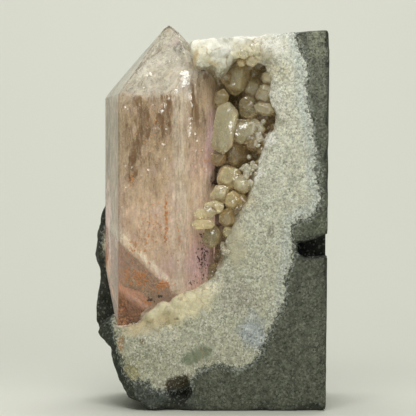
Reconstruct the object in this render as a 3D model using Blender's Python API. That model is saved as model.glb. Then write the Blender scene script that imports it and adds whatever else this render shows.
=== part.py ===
# Skeletal amethyst on a sawn piece of basalt. One big six-sided crystal stands in a cavity
# lined with white quartz, beside a pocket of small druse crystals.
# Front of the piece faces -Y, the sawn bottom lies on z = 0.
import math
import random

import bmesh
import bpy
from mathutils import Matrix, Vector, noise

MM = 0.001

# Sizes of the block
FRONT = -16.0 * MM
BACK = 15.2 * MM
RIGHT_TOP = 23.5 * MM
RIGHT_BOTTOM = 22.7 * MM
TOP_LEFT = 74.7 * MM
TOP_RIGHT = 76.4 * MM
ROUGH_CELL = 2.2 * MM
ROUGH_HEIGHT = 0.75 * MM

# Gap kept between pieces that grew against each other
GAP = 0.3 * MM

# Big crystal: axis, turn of the front face, tilt of the end faces from level
CRYSTAL_AXIS = (-11.2 * MM, -3.9 * MM)
CRYSTAL_TURN = math.radians(-13.0)
CAP_TILT = math.radians(51.8)
# Each side face: turn from the front face, distance from the axis, height of its shoulder
CRYSTAL_SIDES = [
    (0, 10.0 * MM, 63.8 * MM),
    (60, 10.05 * MM, 68.6 * MM),
    (120, 10.6 * MM, 68.6 * MM),
    (180, 10.0 * MM, 69.5 * MM),
    (240, 10.0 * MM, 65.3 * MM),
    (300, 10.0 * MM, 63.6 * MM),
]
# Blunt crystal beside it
STUB_AXIS = (-1.4 * MM, -3.4 * MM)
STUB_RADIUS = 2.5 * MM
STUB_TOP = 69.6 * MM
STUB_FOOT = 50.0 * MM

# Uneven front of the white rind, in millimetres
RELIEF_CELL = 2.2
RELIEF_FRONT = -15.7
RELIEF_HEIGHT = 0.3
RIM_DROP = 1.7
RIM_WIDTH = 1.7

# Small crystals of the pocket
DRUSE_SEED = 7

# Outlines in millimetres, as (across, up)
BLOCK = [
    (24.5, -2), (10, -2), (-13, -2), (-13.4, 0.4), (-14.4, 1.2), (-16.8, 2.2), (-17.9, 4.2), (-19.0, 7),
    (-19.7, 9.5), (-20.4, 12.6), (-22.8, 14.4), (-24.3, 16.6), (-24.8, 23), (-24.6, 30), (-24.2, 36.8),
    (-20, 46), (-15, 56.4), (-10, 66.8), (-5.6, 75), (-4, 79), (8, 79), (24.5, 79), (24.5, 60), (24.5, 30),
]
RIND = [
    (16.7, 75.4), (17.8, 73.2), (18.7, 70.6), (19.2, 66.8), (19.7, 60.4), (20.7, 56.2), (21.5, 48.2),
    (22.1, 42.2), (20.1, 38.6), (16.3, 37.1), (15.7, 34.0), (16.6, 31.4), (15.2, 26.2), (14.5, 21.2),
    (12.5, 16.8), (9.7, 10.8), (7.3, 8.6), (5.5, 7.4), (1.1, 9.0), (-1.9, 8.0), (-3.5, 6.9), (-4.1, 4.3),
    (-6.5, 3.0), (-9.1, 3.4), (-11.7, 3.8), (-13.7, 5.6), (-16.3, 5.4), (-17.9, 8.0), (-19.6, 12.4),
    (-21.2, 16.6), (-22.6, 21), (-24.5, 26), (-26, 34), (-24, 42), (-16, 60), (-9, 74), (-5, 77), (5, 76.6), (16, 77.4),
]
POCKET = [
    (-3.1, 69.2), (-0.1, 69.5), (1.0, 67.4), (3.1, 68.6), (4.5, 70.2), (6.1, 70.8), (9.9, 70.2), (11.1, 69.2),
    (11.9, 66.2), (11.3, 63.2), (12.9, 60.8), (12.9, 57.8), (11.1, 55.6), (9.9, 52.2), (9.1, 49.2),
    (8.3, 46.6), (7.5, 43.8), (6.1, 41.2), (4.7, 38.2), (3.5, 35.8), (2.7, 33.2), (1.9, 29.8), (0.7, 27.2),
    (-1.1, 25.6), (-2.5, 25.0), (-6, 25.0), (-9, 30), (-9, 50), (-7, 66),
]
CLEARING = [
    (-32, 13.5), (-24, 15.6), (-20.6, 17.7), (-18.4, 16.3), (-14.9, 17.3), (-13.5, 19.5), (-10.9, 21.3),
    (-9.1, 21.9), (-6.5, 23.5), (-3.7, 24.1), (-1.5, 25.3), (1.0, 28), (1.0, 60), (-1.0, 69.0),
    (-3.3, 69.4), (-4.9, 73.6), (-5.2, 82), (-32, 82),
]
NOTCH = [(16.9, 33.6), (18.9, 33.9), (22.6, 35.4), (26, 35.8), (26, 30.9), (22.9, 31.0), (18.3, 30.8), (17.3, 31.6)]

# Glassy lumps fused to the rind: centre across, depth, up, radius
LUMPS = [
    (-4.6, -13.4, 72.4, 2.5), (-1.0, -13.2, 72.6, 2.6), (2.2, -13.6, 72.0, 2.3), (5.2, -14.0, 72.6, 2.6),
    (7.6, -14.4, 70.8, 2.3), (10.6, -13.8, 72.2, 2.2), (-12.0, -14.3, 19.2, 1.8), (-9.4, -14.4, 20.2, 1.7),
    (-6.8, -14.2, 21.4, 1.9), (-4.4, -14.3, 22.2, 1.7), (-7.6, -14.9, 18.6, 1.6), (-10.6, -15.0, 17.2, 1.5),
    (12.8, -13.8, 66.0, 1.9), (13.8, -13.6, 58.6, 1.9), (11.6, -13.9, 53.4, 1.8), (9.6, -13.8, 46.2, 1.9),
]


def clear_scene():
    """Empties the scene."""
    for item in list(bpy.data.objects):
        bpy.data.objects.remove(item)


def material(name, colour, roughness, transmission=0.0):
    """One plain surface for one mineral."""
    made = bpy.data.materials.new(name)
    made.use_nodes = True
    surface = made.node_tree.nodes["Principled BSDF"]
    surface.inputs["Base Color"].default_value = (*colour, 1.0)
    surface.inputs["Roughness"].default_value = roughness
    surface.inputs["Transmission Weight"].default_value = transmission
    surface.inputs["IOR"].default_value = 1.544
    return made


def add_object(name, mesh_edit, surface=None):
    """Turns an edit mesh into an object of the scene."""
    bmesh.ops.recalc_face_normals(mesh_edit, faces=mesh_edit.faces)
    mesh = bpy.data.meshes.new(name)
    mesh_edit.to_mesh(mesh)
    mesh_edit.free()
    made = bpy.data.objects.new(name, mesh)
    bpy.context.scene.collection.objects.link(made)
    if surface:
        mesh.materials.append(surface)
    return made


def apply_modifiers(target):
    """Fixes what the modifiers make as the object's own mesh."""
    bpy.context.view_layer.update()
    graph = bpy.context.evaluated_depsgraph_get()
    fixed = bpy.data.meshes.new_from_object(target.evaluated_get(graph))
    target.modifiers.clear()
    target.data = fixed
    return target


def combine(target, other, operation, solver="EXACT"):
    """Adds, cuts or intersects one solid with another."""
    step = target.modifiers.new("combine", "BOOLEAN")
    step.operation = operation
    step.solver = solver
    step.object = other
    apply_modifiers(target)
    bpy.data.objects.remove(other)
    return target


def rough_combine(target, other, operation):
    """The same for rough rock, whose uneven faces leave open edges in the exact method."""
    return combine(target, other, operation, "MANIFOLD")


def unit(azimuth, elevation=0.0):
    """Direction that looks out of the piece: azimuth 0 to the front, 90 to the right."""
    level = math.cos(elevation)
    return Vector((math.sin(azimuth) * level, -math.cos(azimuth) * level, math.sin(elevation)))


def cut_plane(mesh_edit, point, normal):
    """Cuts away what lies beyond a plane and closes the cut with one flat face."""
    everything = mesh_edit.verts[:] + mesh_edit.edges[:] + mesh_edit.faces[:]
    result = bmesh.ops.bisect_plane(
        mesh_edit, geom=everything, dist=1e-7, plane_co=point, plane_no=normal, clear_outer=True
    )
    rim = [item for item in result["geom_cut"] if isinstance(item, bmesh.types.BMEdge)]
    if rim:
        bmesh.ops.edgenet_fill(mesh_edit, edges=rim)


def trim(target, point, normal):
    """Saws a finished solid off at a plane."""
    mesh_edit = bmesh.new()
    mesh_edit.from_mesh(target.data)
    cut_plane(mesh_edit, point, normal)
    mesh_edit.to_mesh(target.data)
    mesh_edit.free()
    return target


def solid_of_planes(planes, middle, reach):
    """Convex solid that lies inside every plane, cut out of a big cube around a middle point."""
    mesh_edit = bmesh.new()
    bmesh.ops.create_cube(mesh_edit, size=2 * reach, matrix=Matrix.Translation(middle))
    for point, normal in planes:
        cut_plane(mesh_edit, point, normal)
    return mesh_edit


def loft(name, rings):
    """Solid through a row of closed outlines that all have the same number of points."""
    mesh_edit = bmesh.new()
    rows = [[mesh_edit.verts.new(point) for point in ring] for ring in rings]
    count = len(rings[0])
    for near, far in zip(rows, rows[1:]):
        for i in range(count):
            j = (i + 1) % count
            mesh_edit.faces.new((near[i], near[j], far[j], far[i]))
    mesh_edit.faces.new(rows[0])
    mesh_edit.faces.new(rows[-1])
    return add_object(name, mesh_edit)


def densify(outline, spacing):
    """Adds points to an outline where two of them stand far apart."""
    result = []
    for (ax, az), (bx, bz) in zip(outline, outline[1:] + outline[:1]):
        pieces = max(1, round(math.hypot(bx - ax, bz - az) / spacing))
        for i in range(pieces):
            result.append((ax + (bx - ax) * i / pieces, az + (bz - az) * i / pieces))
    return result


def ring(outline, depth, middle, scale, grow=0.0):
    """Outline at one depth, scaled about a middle and grown outward by a distance."""
    points = []
    for across, up in outline:
        arm = Vector((across - middle[0], 0.0, up - middle[1])) * MM * scale
        arm += arm.normalized() * grow
        points.append(Vector((middle[0] * MM, depth, middle[1] * MM)) + arm)
    return points


def bumps(point, cell, seed):
    """Smooth uneven value from about -1 to 1 with two sizes of bumps."""
    shift = Vector((seed * 7.3, seed * 3.1, seed * 5.7))
    coarse = noise.noise(point / cell + shift)
    fine = noise.noise(point / (0.4 * cell) + shift)
    return 1.2 * coarse + 0.6 * fine


def roughen(target, height, cell, seed, inside=None):
    """Moves each point along its normal by an uneven amount."""
    mesh = target.data
    normals = [vertex.normal.copy() for vertex in mesh.vertices]
    for vertex, normal in zip(mesh.vertices, normals):
        if inside is None or inside(vertex.co):
            vertex.co += normal * height * bumps(vertex.co, cell, seed)
    mesh.update()
    return target


def swell(target, distance):
    """Moves every point outward along its normal by one distance."""
    mesh = target.data
    normals = [vertex.normal.copy() for vertex in mesh.vertices]
    for vertex, normal in zip(mesh.vertices, normals):
        vertex.co += normal * distance
    mesh.update()
    return target


def crystal_planes(axis, turn, sides, grow=0.0):
    """Side faces and end faces of a quartz crystal that stands upright."""
    planes = []
    for offset, distance, shoulder in sides:
        outward = unit(turn + math.radians(offset))
        foot = Vector((axis[0], axis[1], 0.0)) + outward * (distance + grow)
        planes.append((foot, outward))
        slope = unit(turn + math.radians(offset), math.pi / 2 - CAP_TILT)
        corner = Vector((axis[0], axis[1], shoulder)) + outward * distance
        planes.append((corner + slope * grow, slope))
    return planes


def contact_planes(grow=0.0):
    """Slanting faces where the foot of the big crystal rests against the rock."""
    back_slope = Vector((-1.29, 1.332, -1.0)).normalized()
    lower = Vector((0.22, 0.1, -1.0)).normalized()
    back_point = Vector((-19.1, -12.3, 16.0)) * MM
    low_point = Vector((-12.7, -12.0, 17.6)) * MM
    return [(back_point + back_slope * grow, back_slope), (low_point + lower * grow, lower)]


def big_crystal(name, grow=0.0, surface=None):
    """The six-sided crystal with its six end faces, and the blunt crystal fused to its right side."""
    planes = crystal_planes(CRYSTAL_AXIS, CRYSTAL_TURN, CRYSTAL_SIDES, grow) + contact_planes(grow)
    middle = Vector((CRYSTAL_AXIS[0], CRYSTAL_AXIS[1], 45 * MM))
    crystal = add_object(name, solid_of_planes(planes, middle, 60 * MM), surface)
    sides = [(60 * i, STUB_RADIUS, STUB_TOP - (0.3 + 0.5 * (i % 3)) * MM) for i in range(6)]
    planes = []
    for offset, distance, shoulder in sides:
        outward = unit(CRYSTAL_TURN + math.radians(offset))
        foot = Vector((STUB_AXIS[0], STUB_AXIS[1], 0.0)) + outward * (distance + grow)
        planes.append((foot, outward))
        slope = unit(CRYSTAL_TURN + math.radians(offset), math.radians(62))
        planes.append((foot - outward * 0.9 * MM + Vector((0, 0, shoulder + grow)), slope))
    taper = Vector((0.75, 0.1, -0.66)).normalized()
    planes.append((Vector((STUB_AXIS[0], STUB_AXIS[1], STUB_FOOT)) + taper * grow, taper))
    middle = Vector((STUB_AXIS[0], STUB_AXIS[1], 62 * MM))
    blunt = add_object(name + "_stub", solid_of_planes(planes, middle, 30 * MM), surface)
    return combine(crystal, blunt, "UNION")


def block_solid(name):
    """The whole piece of rock before anything is taken out: sawn in front, right and below, rough elsewhere."""
    outline = densify(BLOCK, 5.0)
    rings = []
    for depth in (-18.0, -12.0, -6.0, 0.0, 6.0, 11.0, 1000 * BACK):
        inset = 0.94 if depth > 14 else 1.0
        rings.append(ring(outline, depth * MM, (2.0, 34.0), inset))
    block = loft(name, rings)
    mesh_edit = bmesh.new()
    mesh_edit.from_mesh(block.data)
    cut_plane(mesh_edit, Vector((20, 16, 40)) * MM, Vector((0.45, 0.9, 0.05)).normalized())
    cut_plane(mesh_edit, Vector((0, 11, 76)) * MM, Vector((0.05, 0.5, 0.86)).normalized())
    cut_plane(mesh_edit, Vector((-24.8, 9, 20)) * MM, Vector((-0.62, 0.78, 0.1)).normalized())
    cut_plane(mesh_edit, Vector((-16.5, -16.2, 8)) * MM, Vector((-0.75, -0.66, -0.05)).normalized())
    mesh_edit.to_mesh(block.data)
    mesh_edit.free()
    grid = block.modifiers.new("even cells", "REMESH")
    grid.mode = "VOXEL"
    grid.voxel_size = ROUGH_CELL
    apply_modifiers(block)
    roughen(block, ROUGH_HEIGHT, 7.0 * MM, 1)
    mesh_edit = bmesh.new()
    mesh_edit.from_mesh(block.data)
    right = Vector((TOP_RIGHT, 0.0, RIGHT_BOTTOM - RIGHT_TOP)).normalized()
    top = Vector((TOP_LEFT - TOP_RIGHT, 0.0, 27 * MM)).normalized()
    cut_plane(mesh_edit, Vector((0, FRONT, 0)), Vector((0, -1, 0)))
    cut_plane(mesh_edit, Vector((RIGHT_BOTTOM, 0, 0)), Vector((right.x, 0, right.z)))
    cut_plane(mesh_edit, Vector((-4.5 * MM, 0, TOP_LEFT)), top)
    cut_plane(mesh_edit, Vector((0, 0, 0)), Vector((0, 0, -1)))
    mesh_edit.to_mesh(block.data)
    mesh_edit.free()
    return block


def bowl_solid(name, grow=0.0):
    """The cavity in the basalt that the quartz lining fills, wide in front and closing toward the back."""
    outline = densify(RIND, 4.5)
    rings = []
    for depth, scale in ((-20, 1.0), (-16, 1.0), (-11, 0.98), (-6, 0.95), (-1, 0.9), (4, 0.82), (8, 0.69), (11, 0.48)):
        rings.append(ring(outline, depth * MM, (-3.0, 40.0), scale))
    rings.append(ring(outline, 12.6 * MM, (-3.0, 40.0), 0.2))
    bowl = loft(name, rings)
    roughen(bowl, 0.5 * MM, 5.0 * MM, 2, lambda point: point.y > FRONT + 1 * MM)
    return swell(bowl, grow)


def pocket_solid(name, grow=0.0):
    """The hollow beside the big crystal, flared at its rim and closing toward the back."""
    outline = densify(POCKET, 3.0)
    rings = []
    for depth, scale in ((-20, 1.05), (-16, 1.05), (-14.6, 1.0), (-11, 0.98), (-7.5, 0.93), (-4, 0.84), (-1, 0.68)):
        rings.append(ring(outline, depth * MM, (2.6, 50.0), scale))
    rings.append(ring(outline, 0.8 * MM, (2.6, 50.0), 0.4))
    pocket = loft(name, rings)
    roughen(pocket, 0.6 * MM, 3.6 * MM, 3, lambda point: point.y > FRONT + 1 * MM)
    return swell(pocket, grow)


def clearing_solid(name):
    """The open space in front of the big crystal."""
    rings = [ring(CLEARING, depth * MM, (-11, 45), 1.0) for depth in (-22, -15, -8, -1)]
    return loft(name, rings)


def lump(name, across, depth, up, radius, dice):
    """An irregular glassy lump with flat faces."""
    middle = Vector((across, depth, up)) * MM
    planes = []
    for i in range(13):
        level = 1 - 2 * (i + 0.5) / 13
        turn = 2.4 * i + dice.uniform(-0.3, 0.3)
        flat = math.sqrt(1 - level * level)
        normal = Vector((flat * math.cos(turn), flat * math.sin(turn), level))
        planes.append((middle + normal * radius * MM * dice.uniform(0.78, 1.0), normal))
    return add_object(name, solid_of_planes(planes, middle, 3 * radius * MM))


def quartz_point(root, direction, radius, length, turn):
    """Points of a small crystal: a six-sided prism that ends in six flat faces."""
    toward = direction.normalized()
    side = toward.orthogonal().normalized()
    other = toward.cross(side)
    rings = []
    for height, size in ((-0.6 * radius, 1.0), (length - 1.05 * radius, 0.95)):
        row = []
        for i in range(6):
            angle = turn + math.pi * i / 3
            arm = (side * math.cos(angle) + other * math.sin(angle)) * radius * size
            row.append(root + toward * height + arm)
        rings.append(row)
    return rings, root + toward * length


def small_crystals():
    """The small crystals of the pocket, each a solid of its own until it is fused to the crust."""
    dice = random.Random(DRUSE_SEED)
    # Big ones: root across, depth, up, then tip direction and radius and length, in millimetres
    big = [
        (6.0, -4.0, 66.6, 0.10, -1.0, 0.15, 2.9, 7.0),
        (3.0, -4.5, 57.6, -0.35, -1.0, -0.30, 2.3, 7.2),
        (2.4, -5.5, 53.6, -0.30, -1.0, -0.62, 1.8, 6.6),
        (8.2, -4.6, 61.2, 0.12, -1.0, 0.10, 2.2, 6.2),
        (7.6, -5.0, 56.4, 0.25, -1.0, 0.02, 2.3, 6.0),
        (8.8, -6.4, 54.4, 0.10, -1.0, -0.35, 1.3, 4.6),
        (8.4, -8.0, 69.6, 0.08, -0.85, -0.45, 1.5, 5.0),
        (4.4, -5.0, 46.4, -0.10, -1.0, 0.10, 1.9, 6.2),
        (2.6, -5.2, 45.0, -0.35, -1.0, 0.15, 1.5, 5.8),
        (6.4, -7.4, 45.8, 0.10, -1.0, -0.20, 1.3, 4.6),
        (1.2, -5.0, 41.2, -0.30, -1.0, 0.05, 1.8, 6.0),
        (3.8, -6.4, 40.6, 0.15, -1.0, 0.10, 1.5, 5.0),
        (1.0, -5.6, 35.6, -0.20, -1.0, 0.15, 1.7, 5.6),
        (2.9, -8.4, 35.4, 0.10, -1.0, 0.10, 1.1, 4.2),
        (2.0, -3.6, 61.8, -0.25, -1.0, 0.10, 1.4, 4.8),
        (10.6, -6.6, 66.2, 0.40, -1.0, 0.25, 1.5, 4.2),
        (0.6, -4.4, 30.4, -0.20, -1.0, 0.25, 1.2, 4.6),
        (1.6, -6.6, 41.2, -0.85, -1.0, 0.10, 1.3, 6.2),
        (1.5, -6.4, 38.8, -0.80, -1.0, 0.05, 1.2, 6.0),
        (1.4, -6.2, 36.6, -0.75, -1.0, 0.10, 1.1, 5.6),
    ]
    specs = []
    for x, y, z, dx, dy, dz, radius, length in big:
        specs.append((Vector((x, y, z)) * MM, Vector((dx, dy, dz)), radius * MM, length * MM))
    for i in range(26):
        up = 29 + 40 * (i + dice.uniform(-0.3, 0.3)) / 26
        wide = 2.4 + 0.19 * (up - 26)
        across = dice.uniform(0.3, 0.3 + wide)
        lean = Vector((dice.uniform(-0.6, 0.2), -1.0, dice.uniform(-0.5, 0.5)))
        radius = dice.uniform(0.8, 1.35) * MM
        specs.append((Vector((across, -3.4 + dice.uniform(-0.8, 0.8), up)) * MM, lean, radius, radius * 3.0))
    grown = []
    for root, direction, radius, length in specs:
        mesh_edit = bmesh.new()
        (low, high), tip = quartz_point(root, direction, radius, length, dice.uniform(0, 1))
        low = [mesh_edit.verts.new(point) for point in low]
        high = [mesh_edit.verts.new(point) for point in high]
        peak = mesh_edit.verts.new(tip)
        mesh_edit.faces.new(low)
        for i in range(6):
            j = (i + 1) % 6
            mesh_edit.faces.new((low[i], low[j], high[j], high[i]))
            mesh_edit.faces.new((high[i], high[j], peak))
        grown.append(add_object("small_crystal", mesh_edit))
    return grown


def keep_largest(target):
    """Leaves the biggest connected body of a mesh."""
    mesh_edit = bmesh.new()
    mesh_edit.from_mesh(target.data)
    todo = set(mesh_edit.verts)
    groups = []
    while todo:
        front = [todo.pop()]
        group = set(front)
        while front:
            vertex = front.pop()
            for edge in vertex.link_edges:
                other = edge.other_vert(vertex)
                if other in todo:
                    todo.discard(other)
                    group.add(other)
                    front.append(other)
        groups.append(group)
    groups.sort(key=len)
    extra = [vertex for group in groups[:-1] for vertex in group]
    bmesh.ops.delete(mesh_edit, geom=extra, context="VERTS")
    mesh_edit.to_mesh(target.data)
    mesh_edit.free()
    return target


def rim_distance(across, up):
    """Distance in millimetres from a point of the front to the rim of the hollow and of the crystal's seat."""
    nearest = 99.0
    point = Vector((across, up))
    for outline in (POCKET[:25], CLEARING[2:]):
        for start, end in zip(outline, outline[1:]):
            a = Vector(start)
            along = Vector(end) - a
            share = min(1.0, max(0.0, (point - a).dot(along) / along.length_squared))
            nearest = min(nearest, (point - a - along * share).length)
    return nearest


def relief_solid(name):
    """Uneven front of the rind as one face of a thick slab: low swells, rounded down toward the rim."""
    mesh_edit = bmesh.new()
    columns = round(52 / RELIEF_CELL)
    rows = round(84 / RELIEF_CELL)
    layers = []
    for flat in (False, True):
        layer = []
        for row in range(rows + 1):
            for column in range(columns + 1):
                across = -27 + 52 * column / columns
                up = -3 + 84 * row / rows
                depth = 30.0
                if not flat:
                    swell_height = RELIEF_HEIGHT * bumps(Vector((across, 0, up)) * MM, 6.0 * MM, 5)
                    depth = RELIEF_FRONT + swell_height + RIM_DROP * math.exp(-rim_distance(across, up) / RIM_WIDTH)
                layer.append(mesh_edit.verts.new(Vector((across, depth, up)) * MM))
        layers.append(layer)
    wide = columns + 1
    for layer in layers:
        for row in range(rows):
            for column in range(columns):
                i = row * wide + column
                mesh_edit.faces.new((layer[i], layer[i + 1], layer[i + wide + 1], layer[i + wide]))
    edge = [i for i in range(wide)]
    edge += [row * wide + columns for row in range(1, rows + 1)]
    edge += [rows * wide + column for column in range(columns - 1, -1, -1)]
    edge += [row * wide for row in range(rows - 1, 0, -1)]
    for i, j in zip(edge, edge[1:] + edge[:1]):
        mesh_edit.faces.new((layers[0][i], layers[0][j], layers[1][j], layers[1][i]))
    return add_object(name, mesh_edit)


def pit_solid(name):
    """The round hole in the lower part of the rind."""
    mesh_edit = bmesh.new()
    placed = Matrix.Translation(Vector((-6.7, -15.4, 4.4)) * MM)
    bmesh.ops.create_icosphere(mesh_edit, subdivisions=2, radius=2.7 * MM, matrix=placed)
    pit = add_object(name, mesh_edit)
    return roughen(pit, 0.35 * MM, 2.2 * MM, 4)


def notch_solid(name):
    """The recess in the right edge of the basalt."""
    rings = [ring(NOTCH, depth * MM, (20, 33), scale) for depth, scale in ((-20, 1.0), (-14, 0.98), (-9.5, 0.7))]
    return loft(name, rings)


def paint(target, surface):
    """Gives a finished piece its one material."""
    target.data.materials.clear()
    target.data.materials.append(surface)
    for face in target.data.polygons:
        face.material_index = 0
        face.use_smooth = False


clear_scene()
dice = random.Random(11)

amethyst = big_crystal("amethyst_crystal")

# White lining: the part of the block inside the cavity, with its lumps, opened in front
rind = rough_combine(block_solid("quartz_rind"), bowl_solid("bowl"), "INTERSECT")
rough_combine(rind, relief_solid("relief"), "INTERSECT")
for i, (across, depth, up, radius) in enumerate(LUMPS):
    grown = lump("lump", across, depth, up, radius, dice)
    trim(grown, Vector((0, FRONT, 0)), Vector((0, -1, 0)))
    rough_combine(rind, grown, "UNION")
rough_combine(rind, clearing_solid("clearing"), "DIFFERENCE")
rough_combine(rind, pocket_solid("pocket"), "DIFFERENCE")
rough_combine(rind, big_crystal("socket", GAP), "DIFFERENCE")
rough_combine(rind, pit_solid("pit"), "DIFFERENCE")
keep_largest(rind)

# Dark rock: the block outside the cavity
basalt = rough_combine(block_solid("basalt_matrix"), bowl_solid("bowl", GAP), "DIFFERENCE")
rough_combine(basalt, clearing_solid("clearing"), "DIFFERENCE")
rough_combine(basalt, pocket_solid("pocket"), "DIFFERENCE")
rough_combine(basalt, big_crystal("socket", GAP), "DIFFERENCE")
rough_combine(basalt, notch_solid("notch"), "DIFFERENCE")
rough_combine(basalt, pit_solid("pit"), "DIFFERENCE")
keep_largest(basalt)

# Crust of small crystals on the back wall of the pocket
druse = pocket_solid("pocket_druse", -1.3 * GAP)
inner = pocket_solid("inner", -1.4 * MM)
for vertex in inner.data.vertices:
    vertex.co.y -= 1.2 * MM
rough_combine(druse, inner, "DIFFERENCE")
trim(druse, Vector((0.8, 0, 0)) * MM, Vector((-1, 0, 0)))
trim(druse, Vector((12, -9.5, 60)) * MM, Vector((0.12, -1, 0)).normalized())
room = pocket_solid("room", -GAP)
trim(room, Vector((-3.4, 0, 0)) * MM, Vector((-1, 0, 0)))
trim(room, Vector((0, -14.4, 0)) * MM, Vector((0, -1, 0)))
for crystal in small_crystals():
    rough_combine(druse, crystal, "UNION")
rough_combine(druse, room, "INTERSECT")
rough_combine(druse, big_crystal("socket", GAP), "DIFFERENCE")
keep_largest(druse)

paint(amethyst, material("amethyst", (0.62, 0.47, 0.5), 0.05, 0.9))
paint(rind, material("white_quartz", (0.62, 0.6, 0.5), 0.7))
paint(basalt, material("basalt", (0.08, 0.09, 0.07), 0.85))
paint(druse, material("druse_quartz", (0.5, 0.43, 0.3), 0.2, 0.4))

# Origin at the bottom, in the middle of the whole piece
pieces = [amethyst, rind, basalt, druse]
corners = [vertex.co for piece in pieces for vertex in piece.data.vertices]
low = Vector([min(corner[i] for corner in corners) for i in range(3)])
high = Vector([max(corner[i] for corner in corners) for i in range(3)])
shift = Vector((-(low.x + high.x) / 2, -(low.y + high.y) / 2, -low.z))
for piece in pieces:
    piece.data.transform(Matrix.Translation(shift))
    piece.data.update()
    print(piece.name, len(piece.data.polygons), [round(1000 * value, 2) for value in piece.dimensions])
print("shift", [round(1000 * value, 3) for value in shift])
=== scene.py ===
# %% [markdown]
# # A skeletal amethyst on basalt, dressed in Blender
#
# The piece is a sawn block of dark basalt. A cavity in it is lined with white, sugary quartz. One big
# amethyst stands in the cavity, and small crystals line the hollow beside it. The solids come from the
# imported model. This lesson gives each mineral its fine shape and its finish: granular rind, fine-grained
# rock, glassy crystals, and the veils, flakes and specks that make a natural crystal look alive.

import math

import bpy
import numpy as np
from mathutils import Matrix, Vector


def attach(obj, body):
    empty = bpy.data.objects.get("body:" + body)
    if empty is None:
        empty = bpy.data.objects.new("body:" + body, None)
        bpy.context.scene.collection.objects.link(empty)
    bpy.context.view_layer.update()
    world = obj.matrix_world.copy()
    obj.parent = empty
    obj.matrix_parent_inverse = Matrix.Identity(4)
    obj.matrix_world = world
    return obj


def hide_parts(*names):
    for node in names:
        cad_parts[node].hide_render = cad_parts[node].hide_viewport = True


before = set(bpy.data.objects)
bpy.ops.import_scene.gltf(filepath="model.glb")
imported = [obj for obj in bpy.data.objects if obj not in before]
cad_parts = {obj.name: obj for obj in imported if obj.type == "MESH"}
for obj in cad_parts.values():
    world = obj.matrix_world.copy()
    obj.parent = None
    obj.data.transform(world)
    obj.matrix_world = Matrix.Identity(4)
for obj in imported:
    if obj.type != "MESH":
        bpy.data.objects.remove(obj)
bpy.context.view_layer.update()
print("nodes:", sorted(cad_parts))

# %% [markdown]
# ## Working frame
#
# All sizes below are in millimetres in the frame the piece was measured in: x across, y into the piece,
# z up, with the sawn front at y = -16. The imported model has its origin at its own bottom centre, a little
# to the side, so one shift and one scale bring every point home.

# %% Units, measured tables, and helpers that turn arrays into a mesh object
MM = 0.001
SHIFT = np.array([0.834, 0.012, 0.0])
FRONT = -16.0


def home(points):
    """Working millimetres to metres in the model's frame: add the shift, then divide by a thousand."""
    return (np.asarray(points, float) + SHIFT) * MM


def table(text):
    """Measured rows, written as plain numbers; a bar or a new line ends a row."""
    rows = text.replace("|", "\n").split("\n")
    return [[float(number) for number in row.split()] for row in rows if row.strip()]


def new_mesh(name, points, faces):
    """A mesh from points in metres, and faces given as a list or as an array."""
    mesh = bpy.data.meshes.new(name)
    mesh.from_pydata(points, [], faces.tolist() if isinstance(faces, np.ndarray) else faces)
    return mesh


def placed(name, data):
    """A new object for a mesh, a lamp or a camera, linked to the scene."""
    made = bpy.data.objects.new(name, data)
    bpy.context.scene.collection.objects.link(made)
    return made


def piece(name, points, faces, slot, sharp=None):
    """A mesh object that rides on the body: smooth but for edges past the sharp angle, or flat without it."""
    mesh = new_mesh(name, home(points), faces)
    mesh.validate()
    if sharp:
        mesh.shade_smooth()
        mesh.set_sharp_from_angle(angle=math.radians(sharp))
    made = placed(name, mesh)
    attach(made, "root")
    print(name, len(mesh.vertices), "points", sum(len(p.vertices) - 2 for p in mesh.polygons), "triangles")
    return made


# %% [markdown]
# ## Uneven stone
#
# Broken rock is bumpy at every size at once. A lattice of random numbers, blended smoothly between its
# corners, gives one size of bump. A few lattices of shrinking cells, each weaker than the one before, give
# rock. The same field drives big swells and small pits.

# %% Lattice noise on whole arrays
CORNERS = np.random.default_rng(5).uniform(-1, 1, (32, 32, 32)).astype(np.float32)


def lattice(x, y, z, cell, seed):
    """Smooth random value from -1 to 1: each lattice corner holds a random number, and a point mixes its
    eight corners by the weight 3t^2 - 2t^3 along each axis, t being the share of the cell passed."""
    parts = []
    for values, turn in ((x, 11), (y, 5), (z, 17)):
        scaled = values / cell + seed * turn + 0.37 * seed
        low = np.floor(scaled)
        share = (scaled - low).astype(np.float32)
        parts.append((low.astype(np.int32) & 31, share * share * (3 - 2 * share)))
    (ix, tx), (iy, ty), (iz, tz) = parts
    jx, jy, jz = (ix + 1) & 31, (iy + 1) & 31, (iz + 1) & 31
    layers = []
    for kz in (iz, jz):
        near, far = (CORNERS[ix, ky, kz] * (1 - tx) + CORNERS[jx, ky, kz] * tx for ky in (iy, jy))
        layers.append(near * (1 - ty) + far * ty)
    return layers[0] * (1 - tz) + layers[1] * tz


def bumps(x, y, z, cell, octaves, seed):
    """Sum of lattice noises: each has cells 0.47 times and a height 0.55 times those of the one before."""
    total, height = 0, 1.0
    for i in range(octaves):
        total = total + height * lattice(x, y, z, cell, seed + i)
        cell *= 0.47
        height *= 0.55
    return total


def soft_step(value, low, high):
    """0 below low, 1 above high, 3t^2 - 2t^3 between, t being the share of the way; downward too."""
    share = np.clip((value - low) / (high - low), 0, 1)
    return share * share * (3 - 2 * share)


def bell(value, width):
    """exp(-(value / width)^2): 1 at nothing, and nearly 0 past two widths."""
    return np.exp(-((value / width) ** 2))


# %% [markdown]
# ## Outlines
#
# The front of the block shows three borders: the block itself, the edge where white quartz meets basalt,
# and the rim of the hollow. Each is a closed outline of measured corners, given as across and up. A point's
# distance to an outline, negative inside, is all the stone needs: walls, ledges and colour follow it.

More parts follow.
